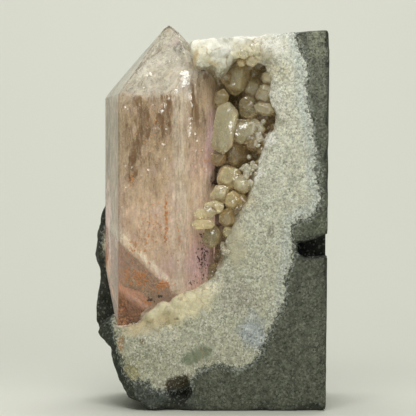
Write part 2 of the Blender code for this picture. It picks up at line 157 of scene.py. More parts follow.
# %% The measured outlines
BLOCK = table("""
24.5 -2 | 10 -2 | -13 -2 | -13.4 0.4 | -14.4 1.2 | -16.8 2.2 | -17.9 4.2 | -19 7 | -19.7 9.5 | -20.4 12.6
-22.8 14.4 | -24.3 16.6 | -24.8 23 | -24.6 30 | -24.2 36.8 | -20 46 | -15 56.4 | -10 66.8 | -5.6 75
-4 79 | 8 79 | 24.5 79 | 24.5 60 | 24.5 30
""")
RIND = table("""
16.7 75.4 | 17.8 73.2 | 18.7 70.6 | 19.2 66.8 | 19.7 60.4 | 20.7 56.2 | 21.5 48.2 | 22.1 42.2 | 20.1 38.6
16.3 37.1 | 15.7 34 | 16.6 31.4 | 15.2 26.2 | 14.5 21.2 | 12.5 16.8 | 9.7 10.8 | 7.3 8.6 | 5.5 7.4 | 1.1 9
-1.9 8 | -3.5 6.9 | -4.1 4.3 | -6.5 3 | -9.1 3.4 | -11.7 3.8 | -13.7 5.6 | -16.3 5.4 | -17.9 8
-19.6 12.4 | -21.2 16.6 | -22.6 21 | -24.5 26 | -26 34 | -24 42 | -16 60 | -9 74 | -5 77 | 5 76.6
16 77.4
""")
POCKET = table("""
-3.1 69.2 | -0.1 69.5 | 1 67.4 | 3.1 68.6 | 4.5 70.2 | 6.1 70.8 | 9.9 70.2 | 11.1 69.2 | 11.9 66.2
11.3 63.2 | 12.9 60.8 | 12.9 57.8 | 11.1 55.6 | 9.9 52.2 | 9.1 49.2 | 8.3 46.6 | 7.5 43.8 | 6.1 41.2
4.7 38.2 | 3.5 35.8 | 2.7 33.2 | 1.9 29.8 | 0.7 27.2 | -1.1 25.6 | -2.5 25 | -6 25 | -9 30 | -9 50 | -7 66
""")
CLEARING = table("""
-32 13.5 | -24 15.6 | -20.6 17.7 | -18.4 16.3 | -14.9 17.3 | -13.5 19.5 | -10.9 21.3 | -9.1 21.9
-6.5 23.5 | -3.7 24.1 | -1.5 25.3 | 1 28 | 1 60 | -1 69 | -3.3 69.4 | -4.9 73.6 | -5.2 82 | -32 82
""")
NOTCH = table("16.9 33.6 | 18.9 33.9 | 22.6 35.4 | 26 35.8 | 26 30.9 | 22.9 31 | 18.3 30.8 | 17.3 31.6")


def outline_distance(x, z, outline):
    """Distance to the nearest side of a closed outline, negative inside. A side's nearest point is the foot
    of the perpendicular, held between its ends. Inside, a ray to the left crosses an odd number of sides."""
    best = np.full(np.shape(x), 1e9)
    inside = np.zeros(np.shape(x), bool)
    for (ax, az), (bx, bz) in zip(outline, outline[1:] + outline[:1]):
        wide, high = bx - ax, bz - az
        share = np.clip(((x - ax) * wide + (z - az) * high) / (wide**2 + high**2), 0, 1)
        best = np.minimum(best, np.hypot(x - ax - share * wide, z - az - share * high))
        if high:
            inside ^= ((az > z) != (bz > z)) & (x > ax + (z - az) * wide / high)
    return np.where(inside, -best, best)


# %% Distance charts: worked out once on a fine flat grid, read anywhere by blending the four nearest values
CHART_STEP = 0.25
LEFT, LOW = -40, -12
grid = np.meshgrid(np.arange(LEFT, 40, CHART_STEP), np.arange(LOW, 96, CHART_STEP), indexing="ij")
exact = [outline_distance(*grid, outline) for outline in (BLOCK, RIND, POCKET, CLEARING, NOTCH)]
rim_chart = np.minimum(np.abs(exact[2]), np.abs(exact[3]))
block_chart, rind_chart, pocket_chart, clearing_chart, notch_chart = np.array(exact, np.float32)
print("charts:", rim_chart.shape, "cells inside the block:", int((block_chart < 0).sum()))


def read_chart(values, x, z):
    """Blend of the four grid values around each point, weighted by how near each one is."""
    u = np.clip((x - LEFT) / CHART_STEP, 0, values.shape[0] - 1.001)
    v = np.clip((z - LOW) / CHART_STEP, 0, values.shape[1] - 1.001)
    i, j = u.astype(np.int32), v.astype(np.int32)
    s, t = u - i, v - j
    low = values[i, j] * (1 - s) + values[i + 1, j] * s
    high = values[i, j + 1] * (1 - s) + values[i + 1, j + 1] * s
    return low * (1 - t) + high * t


def tapered(values, x, y, z, middle, depths, scales):
    """Distance to a body whose outline shrinks about a middle point with depth: read the chart at the point
    moved out by the shrink at its depth, then shrink the distance by the same amount."""
    shrink = np.interp(y, depths, scales).astype(np.float32)
    across = middle[0] + (x - middle[0]) / shrink
    up = middle[1] + (z - middle[1]) / shrink
    return read_chart(values, across, up) * shrink


# %% [markdown]
# ## The big crystal as a set of planes
#
# A quartz crystal is the space inside six upright faces and the faces of its point. Each face is a plane:
# a direction and a distance. The stone around the crystal needs the same planes, because the crystal's seat
# follows them, so they come first.

# %% Planes of the crystal
AXIS = np.array([-11.2, -3.9, 0.0])
TURN = math.radians(-13.0)
TILT = math.radians(51.8)
# Each row: turn from the front face in degrees, distance from the axis, height of the shoulder
SIDES = table("0 10 63.8 | 60 10.05 68.6 | 120 10.6 68.6 | 180 10 69.5 | 240 10 65.3 | 300 10 63.6")


def unit(vector):
    """The same direction with length one."""
    return np.asarray(vector, float) / np.linalg.norm(vector)


def outward(azimuth, rise=0.0):
    """Direction out of the piece: azimuth 0 to the front, a quarter turn to the right, then raised."""
    level = math.cos(rise)
    return np.array([math.sin(azimuth) * level, -math.cos(azimuth) * level, math.sin(rise)])


CRYSTAL = []
for offset, distance, shoulder in SIDES:
    azimuth = TURN + math.radians(offset)
    level, slope = outward(azimuth), outward(azimuth, math.pi / 2 - TILT)
    side_foot = AXIS + level * distance
    CRYSTAL += [(level, level @ side_foot), (slope, slope @ (side_foot + np.array([0, 0, shoulder])))]
REST_SLOPE, REST_AT = unit([-0.85, 0.948, -1.0]), np.array([-19.1, -12.3, 16.0])
FOOT_SLOPE, FOOT_AT = unit([0.22, 0.1, -1.0]), np.array([-12.7, -12.0, 17.6])


def glass_planes(sink=0.0, inset=0.0):
    """Planes of the big crystal: its two contact faces sink into the stone, its free faces are set in."""
    planes = [(normal, distance - inset) for normal, distance in CRYSTAL]
    return planes + [(REST_SLOPE, REST_SLOPE @ REST_AT + sink), (FOOT_SLOPE, FOOT_SLOPE @ FOOT_AT + sink)]


def beyond(planes, x, y, z):
    """Largest signed distance to any of the planes: negative inside the solid that they bound."""
    best = np.float32(-1e9)
    for normal, distance in planes:
        best = np.maximum(best, normal[0] * x + normal[1] * y + normal[2] * z - distance)
    return best


print("planes of the crystal:", len(glass_planes()))

# %% [markdown]
# ## Stone as a field, and the skin around it
#
# Rock with a hollow, a notch and chipped edges is no single sheet over two parameters, so it is made
# another way. A field gives each point of space a number, negative inside the stone. Combining bodies is
# then plain arithmetic: the larger of two fields is where both bodies are, and the larger of one and minus
# the other is one with the other taken away. The skin is drawn where the number changes sign.

# %% Draw the skin of a field
def skin(field, origin, step):
    """Closed surface where the field changes sign. Each grid cell that it crosses gets one point, the mean
    of the crossings on the cell's twelve edges, and each crossed grid edge gives one square through the
    points of the four cells around it."""
    inside = field < 0
    cells = tuple(n - 1 for n in field.shape)
    total = np.zeros(cells + (3,), np.float32)
    count = np.zeros(cells, np.float32)
    for axis in range(3):
        below, above = [slice(None)] * 3, [slice(None)] * 3
        below[axis], above[axis] = slice(None, -1), slice(1, None)
        near, far = field[tuple(below)], field[tuple(above)]
        crossed = inside[tuple(below)] != inside[tuple(above)]
        share = np.where(crossed, near / np.where(crossed, near - far, 1), 0)
        one, two = (other for other in range(3) if other != axis)
        for a, b in ((0, 0), (0, 1), (1, 0), (1, 1)):
            part = [slice(None)] * 3
            part[one], part[two] = slice(a, cells[one] + a), slice(b, cells[two] + b)
            hit = crossed[tuple(part)]
            total[..., axis] += share[tuple(part)]
            total[..., one] += a * hit
            total[..., two] += b * hit
            count += hit
    used = count > 0
    number = np.full(cells, -1, np.int32)
    number[used] = np.arange(used.sum())
    points = np.argwhere(used) + total[used] / count[used][:, None]
    faces = []
    for axis in range(3):
        order = (axis, (axis + 1) % 3, (axis + 2) % 3)
        flipped, tags = inside.transpose(order), number.transpose(order)
        here = flipped[:-1, 1:-1, 1:-1]
        crossed = here != flipped[1:, 1:-1, 1:-1]
        around = tags[:, :-1, :-1], tags[:, 1:, :-1], tags[:, 1:, 1:], tags[:, :-1, 1:]
        squares = np.stack(around, -1)[crossed]
        faces.append(np.where(here[crossed][:, None], squares, squares[:, ::-1]))
    return points * step + origin, np.concatenate(faces)


def space(low, high, step):
    """Coordinates of a regular grid of points between two corners."""
    axes = [np.arange(a, b + step, step, dtype=np.float32) for a, b in zip(low, high)]
    return np.meshgrid(*axes, indexing="ij", sparse=True)


def carved(stone, *holes):
    """The stone's field with each hole taken away: the largest of the stone and minus each hole."""
    for hole in holes:
        stone = np.maximum(stone, -hole)
    return stone


# %% [markdown]
# ## The block, the cavity and the hollow
#
# The block was sawn in front, at the right, on top and below; its left side and back are broken. Sawn
# edges chip, so where two sawn faces meet, a third, uneven face cuts the corner. The cavity narrows toward
# the back like a bowl, and the hollow beside the crystal does the same inside the lining.

# %% Field of the block
# Sawn planes: where the right side and the top are, and how far each leans for a millimetre up or across
RIGHT, RIGHT_LEAN = 22.7, 0.0105
TOP, TOP_LEAN = 74.85, 0.0625
# Broken sides as planes: how much of across, depth and up, and the distance
ROUGH_SIDES = table("0.45 0.9 0.05 25.2 | -0.62 0.78 0.1 24.2 | -0.75 -0.66 -0.05 22.6 | 0.05 0.5 0.86 70.8")


def block_field(x, y, z):
    """Largest of the sawn planes, the rough sides, and the chips. A chip is a plane that cuts a sawn edge
    evenly, at the sum of its two planes over the square root of two, plus its size."""
    front, bottom = FRONT - y, -z
    right = (x - RIGHT) * 0.99995 - RIGHT_LEAN * z
    top = z - TOP - TOP_LEAN * x
    rough = bumps(x, y, z, 7.0, 4, 1)
    sides = read_chart(block_chart, x, z) + np.interp(z, [8, 16], [0.0, 0.5]) + 0.8 * rough
    field = np.maximum(np.maximum(front, bottom), np.maximum(right, top))
    field = np.maximum(field, np.maximum(sides, y - 15.6 + 0.9 * rough))
    for a, b, c, distance in ROUGH_SIDES:
        field = np.maximum(field, a * x + b * y + c * z - distance + 0.8 * rough)
    chip = 0.12 + 1.1 * np.clip(lattice(x, y, z, 3.1, 9) - 0.25, 0, 1)
    chip = chip + 0.25 * np.clip(lattice(x, y, z, 1.1, 4), 0, 1)
    chips = [(front, right, 1.3), (front, top, 1), (front, bottom, 2), (right, top, 1), (right, bottom, 1.5)]
    for one, other, size in chips:
        field = np.maximum(field, (one + other) * 0.707 + size * chip)
    return field


# %% Fields of the cavity and the holes
def bowl_field(x, y, z):
    """The cavity: the rind's outline, shrinking toward the back, with a ragged wall."""
    depths, shares = (-16, -11, -6, -1, 4, 8, 11, 12.6), (1, 0.98, 0.95, 0.9, 0.82, 0.69, 0.48, 0.2)
    wall = np.maximum(tapered(rind_chart, x, y, z, (-3.0, 40.0), depths, shares), y - 12.4)
    return wall + 0.45 * bumps(x, y, z, 3.2, 2, 21) + 0.35 * lattice(x, y, z, 1.05, 24)


def pocket_field(x, y, z):
    """The hollow: its outline flares at the rim and shrinks toward the back, with an uneven wall."""
    depths, shares = (-16, -14.6, -11, -7.5, -4, -1, 0.8), (1.04, 1, 0.98, 0.93, 0.84, 0.68, 0.4)
    wall = np.maximum(tapered(pocket_chart, x, y, z, (2.6, 50.0), depths, shares), y - 0.8)
    return wall + 0.5 * bumps(x, y, z, 2.6, 3, 31) + 0.3 * lattice(x, y, z, 0.95, 33)


def clearing_field(x, y, z):
    """The open space in front of the crystal, as deep as its widest part, with an uneven rim and back."""
    behind = 1.4 * soft_step(y, -15, -10) * soft_step(x, -18.6, -20.2) * bumps(x, y, z, 5.0, 3, 45)
    edge = read_chart(clearing_chart, x, z) + 0.35 * bumps(x, y, z, 2.0, 3, 41)
    return np.maximum(edge + behind, y + 1.0 + 1.5 * bumps(x, y, z, 4.5, 3, 43))


def pit_field(x, y, z):
    """A round hole of uneven radius low in the rind."""
    reach = np.sqrt((x + 6.7) ** 2 + ((y + 15.4) * 0.8) ** 2 + (z - 4.4) ** 2)
    return reach - 2.4 + 0.5 * bumps(x, y, z, 1.8, 2, 51)


def notch_field(x, y, z):
    """A broken recess in the right edge."""
    edge = read_chart(notch_chart, x, z) + 0.3 * bumps(x, y, z, 2.2, 3, 61)
    return np.maximum(edge, y + 9.5 + 0.3 * (x - 20))


# %% Glassy lumps on the rind, and the relief of its front
# Each row: across, depth, up, radius
LUMPS = table("""
-4.6 -13.4 72.4 2.5 | -1 -13.2 72.6 2.6 | 2.2 -13.6 72 2.3 | 5.2 -14 72.6 2.6 | 7.6 -14.4 70.8 2.3
10.6 -13.8 72.2 2.2 | -12 -14.3 19.2 1.8 | -9.4 -14.4 20.2 1.7 | -6.8 -14.2 21.4 1.9 | -4.4 -14.3 22.2 1.7
-7.6 -14.9 18.6 1.6 | -10.6 -15 17.2 1.5 | 12.8 -13.8 66 1.9 | 13.8 -13.6 58.6 1.9 | 11.6 -13.9 53.4 1.8
9.6 -13.8 46.2 1.9
""")


def facets(seed, count=13):
    """Directions spread over a sphere by the golden angle, 2.4 radians, and a random size for each."""
    dice = np.random.default_rng(seed)
    number = np.arange(count)
    level = 1 - 2 * (number + 0.5) / count
    turn = 2.4 * number + dice.uniform(-0.4, 0.4, count)
    flat = np.sqrt(1 - level**2)
    return np.stack([flat * np.cos(turn), flat * np.sin(turn), level], 1), dice.uniform(0.76, 1.0, count)


def lump_field(x, y, z):
    """Faceted lumps: each is the largest signed distance to a set of planes round its middle."""
    best = np.full(np.broadcast_shapes(x.shape, y.shape, z.shape), 1e9, np.float32)
    for i, (across, depth, up, radius) in enumerate(LUMPS):
        columns = np.flatnonzero(np.abs(x[:, 0, 0] - across) < radius + 2)
        layers = np.flatnonzero(np.abs(z[0, 0, :] - up) < radius + 2)
        part = np.s_[columns[0] : columns[-1] + 1, :, layers[0] : layers[-1] + 1]
        directions, sizes = facets(i)
        own = beyond(zip(directions, radius * sizes), x[part[0]] - across, y - depth, z[:, :, part[2]] - up)
        best[part] = np.minimum(best[part], own)
    return best


def relief(x, z):
    """Depth of the rind's front: low swells, small grains, and a round shoulder that drops by 1.7 mm
    toward the rim, falling off with distance over 1.7 mm."""
    swell = 0.16 * bumps(x, 0 * x, z, 6.0, 2, 71)
    grains = 0.15 * bumps(x, 0 * x, z, 1.1, 2, 81)
    return -15.72 + swell + grains + 1.7 * np.exp(-read_chart(rim_chart, x, z) / 1.7)


# %% Skin of the basalt
step = 0.45
low_corner = np.array([-26.5, -17.0, -1.0])
grid = space(low_corner, (25.0, 17.6, 79.0), step)
holes = [clearing_field(*grid), pocket_field(*grid), beyond(glass_planes(), *grid) + 0.3]
basalt = carved(block_field(*grid), bowl_field(*grid) + 0.35, *holes, pit_field(*grid), notch_field(*grid))
basalt_points, faces = skin(basalt, low_corner, step)
basalt_piece = piece("basalt_rock", basalt_points, faces, "basalt", sharp=38)
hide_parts("basalt_matrix")

# %% Skin of the rind
step = 0.36
low_corner = np.array([-26.5, -17.0, 2.0])
x, y, z = grid = space(low_corner, (25.0, 14.0, 78.0), step)
body = np.maximum(block_field(*grid), bowl_field(*grid))
crest = z - 74.5 - TOP_LEAN * x + 0.45 * bumps(*grid, 2.0, 3, 93) - 0.4 * soft_step(x, 9, 15)
lining = np.maximum(np.maximum(body, np.minimum(relief(x, z) - y, lump_field(*grid))), crest)
seat = beyond(glass_planes(), *grid) + 0.45 + 0.1 * bumps(*grid, 1.6, 2, 91)
rind = carved(lining, clearing_field(*grid), pocket_field(*grid), seat, pit_field(*grid))
rind_points, faces = skin(rind, low_corner, step)
rind_piece = piece("rind_stone", rind_points, faces, "white_quartz", sharp=60)
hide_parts("quartz_rind")

# %% [markdown]
# ## Tools for finishes
#
# A finish is a small tree of shader nodes. Two kinds of colour meet in it. Where a stain or a zone sits at
# one place on the piece, a wash is laid over the points of the mesh: a soft-edged oval with its own colour,
# its border broken up by noise. What is finer than the mesh, such as grain, comes from noise textures in
# the shader, in object coordinates, so it doesn't slide when the piece or the camera moves.

# %% Colour washes on the points of a mesh
def mixed(values, layer, share):
    """Values mixed toward a layer by a share for each point."""
    share = np.asarray(share)[:, None]
    return values * (1 - share) + np.asarray(layer) * share


def washed(values, x, z, ovals, edge, wobble):
    """Lay ovals over the points in turn. A row gives the middle across and up, two radii, the turn in
    degrees, the strength, and the colour, or nothing for a plain share. An oval's share is its strength
    inside, and falls off where the distance from the middle, in radii plus the wobble, passes 1."""
    for middle, level, wide, high, turn, strength, *colour in ovals:
        c, s = math.cos(math.radians(turn)), math.sin(math.radians(turn))
        across = ((x - middle) * c + (z - level) * s) / wide
        up = ((z - level) * c - (x - middle) * s) / high
        share = strength * soft_step(np.hypot(across, up) + wobble, 1 + edge, 1 - edge)
        values = mixed(values, colour or [1.0], share)
    return values


def store(made, name, values):
    """Keep one number, or one colour, for each point of a mesh, for its finish to read by name."""
    kind, field = ("FLOAT", "value") if values.ndim == 1 else ("FLOAT_COLOR", "color")
    if field == "color":
        values = np.concatenate([values, np.ones((len(values), 1))], axis=1)
    kept = made.data.attributes.new(name, kind, "POINT")
    kept.data.foreach_set(field, values.astype(np.float32).ravel())


# %% Shader nodes in few words
class Value:
    """The output of a shader node, with which sums and products are written as with plain numbers."""

    def __init__(self, socket):
        self.socket = socket
        self.tree = socket.id_data

    def __add__(self, other):
        return calc("ADD", self, other)

    def __sub__(self, other):
        return calc("SUBTRACT", self, other)

    def __mul__(self, other):
        return calc("MULTIPLY", self, other)


def put(made, inputs):
    """Fill a node's inputs: a Value is linked, anything else is a plain setting; a colour gets alpha 1."""
    for socket, value in inputs.items():
        if isinstance(value, Value):
            value.tree.links.new(value.socket, made.inputs[socket])
        elif made.inputs[socket].type == "RGBA":
            made.inputs[socket].default_value = (*value, 1)
        else:
            made.inputs[socket].default_value = value


def node(tree, kind, inputs, **fields):
    """One shader node with its fields and inputs, and its outputs as Values, by number."""
    made = tree.nodes.new("ShaderNode" + kind)
    for field, value in fields.items():
        setattr(made, field, value)
    put(made, inputs)
    return [Value(socket) for socket in made.outputs]


def calc(operation, *values):
    """One sum, product or other operation, and its result."""
    tree = next(value.tree for value in values if isinstance(value, Value))
    return node(tree, "Math", dict(enumerate(values)), operation=operation)[0]


# %% Numbers and colours mixed in the shader
def ramp(value, low, high, start=0.0, end=1.0):
    """A value's way from low to high turned into start to end, with a soft foot and shoulder."""
    inputs = {0: value, 1: low, 2: high, 3: start, 4: end}
    return node(value.tree, "MapRange", inputs, interpolation_type="SMOOTHSTEP")[0]


def layered(colour, *layers):
    """A colour with others laid over it in turn, each given with its share, which is a Value."""
    for share, layer in layers:
        colour = node(share.tree, "Mix", {0: share, 6: colour, 7: layer}, data_type="RGBA")[2]
    return colour


def shaded(colour, *factors):
    """A colour times each of the numbers."""
    for factor in factors:
        grey = node(colour.tree, "CombineColor", {0: factor, 1: factor, 2: factor})[0]
        inputs = {0: 1.0, 6: colour, 7: grey}
        colour = node(colour.tree, "Mix", inputs, data_type="RGBA", blend_type="MULTIPLY")[2]
    return colour


def noise(place, cell, detail=2.0, rough=0.5, stretch=(1, 1, 1)):
    """Noise from 0 to 1 with bumps of about one cell in millimetres, longer along an axis by its stretch."""
    scaled = node(place.tree, "Mapping", {0: place, 3: tuple(1000 / (cell * s) for s in stretch)})[0]
    inputs = {"Vector": scaled, "Scale": 1.0, "Detail": detail, "Roughness": rough}
    return node(place.tree, "TexNoise", inputs)[0]


def times(vector, factor):
    """A vector made longer by a factor."""
    return node(vector.tree, "VectorMath", {0: vector, 3: factor}, operation="SCALE")[0]


def bump(height, depth, strength=1.0):
    """A normal for the shader from bumps whose height is in millimetres times the depth."""
    return node(height.tree, "Bump", {"Height": height, "Distance": depth * MM, "Strength": strength})[0]


def stored(place, name):
    """The stored colour, or else the stored number, of the point being shaded."""
    made = node(place.tree, "Attribute", {}, attribute_name=name)
    return made[0] if name in ("tint", "painted_glow") else made[2]


def blank_finish(name):
    """A new material, its Principled shader and the object coordinates."""
    made = bpy.data.materials.new(name)
    made.use_nodes = True
    place = node(made.node_tree, "TexCoord", {})[3]
    return made, made.node_tree.nodes["Principled BSDF"], place


# %% Grain, used by both kinds of rock
def build_grain():
    """Node group: two sizes of grain, and sparse specks. Shade is a factor near 1, Height is for bumps."""
    group = bpy.data.node_groups.new("stone grain", "ShaderNodeTree")
    for way, names in (("INPUT", "Size Contrast Specks"), ("OUTPUT", "Shade Height Dark Light")):
        for name in names.split():
            group.interface.new_socket(name, in_out=way, socket_type="NodeSocketFloat")
    given, result = group.nodes.new("NodeGroupInput"), group.nodes.new("NodeGroupOutput")
    size, contrast, specks = (Value(given.outputs[i]) for i in range(3))
    place = times(node(group, "TexCoord", {})[3], calc("DIVIDE", 1000.0, size))
    fine = node(group, "TexNoise", {"Vector": place, "Scale": 1.0, "Detail": 3.0, "Roughness": 0.65})[0]
    broad = node(group, "TexNoise", {"Vector": place, "Scale": 0.23, "Detail": 2.0})[0]
    distance, grains = node(group, "TexVoronoi", {"Vector": place, "Scale": 0.8})[:2]
    one, two, three = node(group, "SeparateColor", {0: grains})
    uneven = (fine - 0.5) + (broad - 0.5) * 0.5 + (one - 0.5) * 0.35
    limit = specks * -0.3 + 1.0
    put(result, {
        "Shade": uneven * (contrast * 2.0) + 1.0,
        "Height": fine - distance * 0.4,
        "Dark": calc("GREATER_THAN", two, limit),
        "Light": calc("GREATER_THAN", three, limit),
    })
    return group


GRAIN = build_grain()


def grain(place, size, contrast, specks):
    """The grain group placed in one material with its own size, contrast and share of specks."""
    made = place.tree.nodes.new("ShaderNodeGroup")
    made.node_tree = GRAIN
    put(made, {"Size": size, "Contrast": contrast, "Specks": specks})
    return {socket.name: Value(socket) for socket in made.outputs}


# %% [markdown]
# ## White quartz: sugar, stains and a speckled border
#
# The rind is a felt of tiny quartz grains: off-white where it is clean and thick, greyer and greener low
# down, creamy with iron near the top and at the foot of the crystal. Its border with the basalt is ragged:
# dark grains reach into the white. The hollow's wall is brown, partly iron stain and partly painted shade
# that deepens inward, and the pit low down is painted dark as painted shade. All of that has its place, so
# it is washed on; the grain itself is noise.

# %% Where the rind's colours sit
# Each row: middle across and up, two radii, turn, strength, then a colour where it isn't a plain share
STAINS = table("""
4 73.6 12 3.6 0 1 1 0.98 0.86 | -4.2 71.6 3.4 3.4 0 0.9 1 0.96 0.78 | -2.6 71 2 1.7 -20 0.8 1 0.95 0.76
5.5 70.4 0.8 0.6 0 0.8 0.72 0.46 0.18 | -3.6 70.4 0.6 2.4 -12 0.75 0.84 0.62 0.34
0.2 69.6 1.6 0.5 -20 0.6 0.84 0.66 0.38 | 7.1 71.6 3 2.4 0 0.85 0.95 0.86 0.6
9 74.2 2.2 1.2 0 0.7 0.95 0.92 0.8 | 11 69.6 1.7 2.7 15 0.75 0.42 0.37 0.25
13.4 67.6 2.3 1.7 0 0.6 0.55 0.5 0.34 | 14.2 58.6 1.7 2.2 30 0.5 0.5 0.46 0.34
7.8 47.6 2.4 1.9 30 0.9 1 0.98 0.9 | 10.6 54 1.6 2.4 -30 0.8 0.95 0.93 0.84
12.6 63 1.7 3 10 0.7 0.88 0.86 0.76 | 6.4 43 2.2 2.8 30 0.6 0.62 0.54 0.34
4.8 33.6 2 5.4 8 0.6 0.66 0.6 0.4 | 5 22.5 3.4 3.4 0 0.55 0.42 0.385 0.31
-1.5 24.3 3 1.6 20 0.8 1 0.92 0.68 | -7 20.8 7.6 3.3 22 0.9 0.93 0.83 0.54
-9.4 18 2.2 1.2 30 0.55 0.5 0.38 0.16 | -14 16.6 4 1.5 8 0.7 0.66 0.52 0.28
-10.6 15.2 3.6 2 0 0.6 0.74 0.7 0.56 | -18.4 13.4 0.7 1.4 0 0.8 0.55 0.27 0.08
-19 19 0.9 3.6 0 0.7 0.34 0.33 0.2 | -16.2 7.8 1.8 2.2 0 0.75 0.36 0.32 0.13
-12.5 10.2 3.6 2.4 0 0.65 0.42 0.41 0.28 | 8.2 15.4 2.6 3.6 10 0.85 0.44 0.49 0.52
11.7 36 0.6 0.9 0 0.8 0.17 0.16 0.1 | -14.1 13.8 0.5 0.7 20 0.9 0.2 0.16 0.08
-7.2 18.4 0.5 0.3 0 0.9 0.15 0.11 0.05
""")
GREEN_PATCH = [[-3.2, 11.0, 3.7, 1.35, 24, 0.95, 0.225, 0.26, 0.165]]
GLASSY = table("""
1.4 73 11 4 0 0.97 | 7.1 71.6 3.2 2.6 0 0.9 | -7 20.8 7.6 3 22 0.75 | -13.6 16.4 4 1.4 8 0.6
-3.2 11 3.7 1.35 24 0.8 | 4.6 33 1.8 5 8 0.6 | 7.4 48.4 1.6 1.4 20 0.5
""")


# %% The rind's colours
def rind_colours(x, y, z, border):
    """Albedo at each point: a base from white above to grey-green below, then the stains in turn, the sawn
    green patch, the bluish line along the border at the right, the hollow's brown, partly iron stain and
    partly painted shade that deepens inward, the pit's walls painted dark as painted shade, and the uneven
    cream of the seat, which is seen through the crystal."""
    tint = mixed(np.array([0.53, 0.52, 0.385]), [0.72, 0.715, 0.575], soft_step(z, 14, 66))
    wobble = 0.3 * bumps(x, y, z, 1.7, 3, 101)
    tint = washed(tint, x, z, STAINS, 0.45, wobble)
    tint = washed(tint, x, z, GREEN_PATCH, 0.12, 0.5 * wobble)
    tint = mixed(tint, [0.60, 0.655, 0.60], bell(border + 1.5, 1.0) * soft_step(x, 9, 17) * 0.85)
    # Iron stain and painted shade: the hollow's wall turns brown, more so deeper in.
    hollow = soft_step(-pocket_field(x, y, z), -1.3, 0.1) * soft_step(y, -15.3, -11.5)
    tint = mixed(tint, [0.26, 0.17, 0.07], 0.9 * hollow)
    # Painted shade: the walls of the pit low in the rind are painted nearly black-brown.
    tint = mixed(tint, [0.10, 0.07, 0.03], soft_step(pit_field(x, y, z), 1.0, 0.1))
    cream = np.array([0.86, 0.76, 0.58]) * (1 + 0.08 * bumps(x, y, z, 1.6, 3, 111)[:, None])
    return mixed(tint, cream, soft_step(beyond(glass_planes(), x, y, z), 0.35, -0.1))


def shares(x, y, z, ovals, edge, wobble):
    """The washes of a table without colours, as one share for each point, starting from nothing."""
    return washed(np.zeros((len(x), 1)), x, z, ovals, edge, wobble)[:, 0]


x, y, z = rind_points.T
border = bowl_field(x, y, z)
store(rind_piece, "border", border)
store(rind_piece, "tint", rind_colours(x, y, z, border))
store(rind_piece, "glassy", shares(x, y, z, GLASSY, 0.4, 0.3 * bumps(x, y, z, 1.4, 3, 103)))
print("points of the rind near its border:", int((border > -1).sum()))


# %% White quartz finish
def facet_cells(place, size):
    """Grown-together grains of one size: a random value for each, and the distance to the nearest seam."""
    bent = node(place.tree, "TexNoise", {"Vector": place, "Scale": 900.0 / size, "Detail": 3.0})[1]
    moved = node(place.tree, "VectorMath", {0: place, 1: times(bent, 0.9 * size * MM)}, operation="ADD")[0]
    cells = {"Vector": times(moved, 1000.0 / size), "Scale": 1.0}
    grains = node(place.tree, "TexVoronoi", cells)[1]
    seams = node(place.tree, "TexVoronoi", cells, feature="DISTANCE_TO_EDGE")[0]
    return node(place.tree, "SeparateColor", {0: grains})[0], seams


def ragged_border(place, cell, reach):
    """Stored distance to the border of rind and basalt, shifted by noise: grains of one reach the other."""
    return stored(place, "border") + (noise(place, cell, 3.0, 0.75) - 0.5) * reach


def white_quartz():
    """Stored colour times grain, with dark grains toward the border and glints from smooth grains. Where the
    rind is glassy, it is lumps with rusty seams instead of sugar."""
    made, shader, place = blank_finish("white quartz")
    tint, glassy = stored(place, "tint"), stored(place, "glassy")
    sugar = grain(place, 0.26, 0.85, 0.3)
    colour = layered(
        shaded(tint, sugar["Shade"]),
        (ramp(noise(place, 0.55, 3.0, 0.7, (0.45, 1, 1)), 0.54, 0.66, 0.0, 0.6), (0.93, 0.93, 0.84)),
        (ramp(noise(place, 2.4, 4.0, 0.65), 0.42, 0.72, 0.0, 0.30), (0.38, 0.38, 0.28)),
        (ramp(noise(place, 0.55, 2.0, 0.7), 0.60, 0.72, 0.0, 0.42), (0.24, 0.21, 0.13)),
        (sugar["Dark"] * 0.36, (0.20, 0.20, 0.13)),
        (sugar["Light"] * 0.55, (0.97, 0.96, 0.88)),
        (ramp(ragged_border(place, 0.6, 5.5), -0.75, -0.15, 0.0, 0.9), (0.085, 0.095, 0.075)),
    )
    lump, seam = facet_cells(place, 2.3)
    clouds = ramp(noise(place, 1.1, 4.0, 0.6), 0.3, 0.7, 0.90, 1.14)
    rusty = ramp(seam, 0.09, 0.0) * ramp(noise(place, 2.6, 2.0), 0.46, 0.64, 0.0, 0.75)
    smooth = shaded(tint, clouds, ramp(lump, 0.0, 1.0, 0.84, 1.14))
    smooth = layered(smooth, (rusty, (0.44, 0.28, 0.11)))
    height = sugar["Height"] + noise(place, 1.3, 2.0) * 1.4 + glassy * ((seam + lump) * 1.8)
    put(shader, {
        "Base Color": layered(colour, (glassy, smooth)),
        "Roughness": sugar["Light"] * -0.45 + 0.72 - glassy * 0.22,
        "Normal": bump(height, 0.22, 0.75),
    })
    return made


rind_piece.data.materials.append(white_quartz())

# %% [markdown]
# ## Basalt: sawn and broken
#
# Basalt is a dark, fine-grained lava. Sawn, it shows a grey-green face with pale and black grains and faint
# lines from the blade. Broken, it is rougher, and its colour is painted much darker as painted shade, for
# the shade its hollows hold. A point is sawn if it lies on one of the flat planes, so that is worked out
# from its place and stored.

# %% Where the basalt is sawn, and its colours
PATCHES = table("""
20.5 74 3 3.4 0 0.85 0.235 0.247 0.172 | 18.4 71.5 0.8 5 -8 0.6 0.075 0.086 0.064
21.4 36.6 4.4 2.2 0 0.6 0.11 0.125 0.077 | -13 2.6 9 3 -10 0.9 0.066 0.078 0.066
""")
# Pits along the right edge, painted near black as painted shade: height and size
PITS = [(75.2, 0.5), (72.6, 0.35), (69.4, 0.55), (66.9, 0.3), (58.3, 0.4), (26.4, 0.35)]


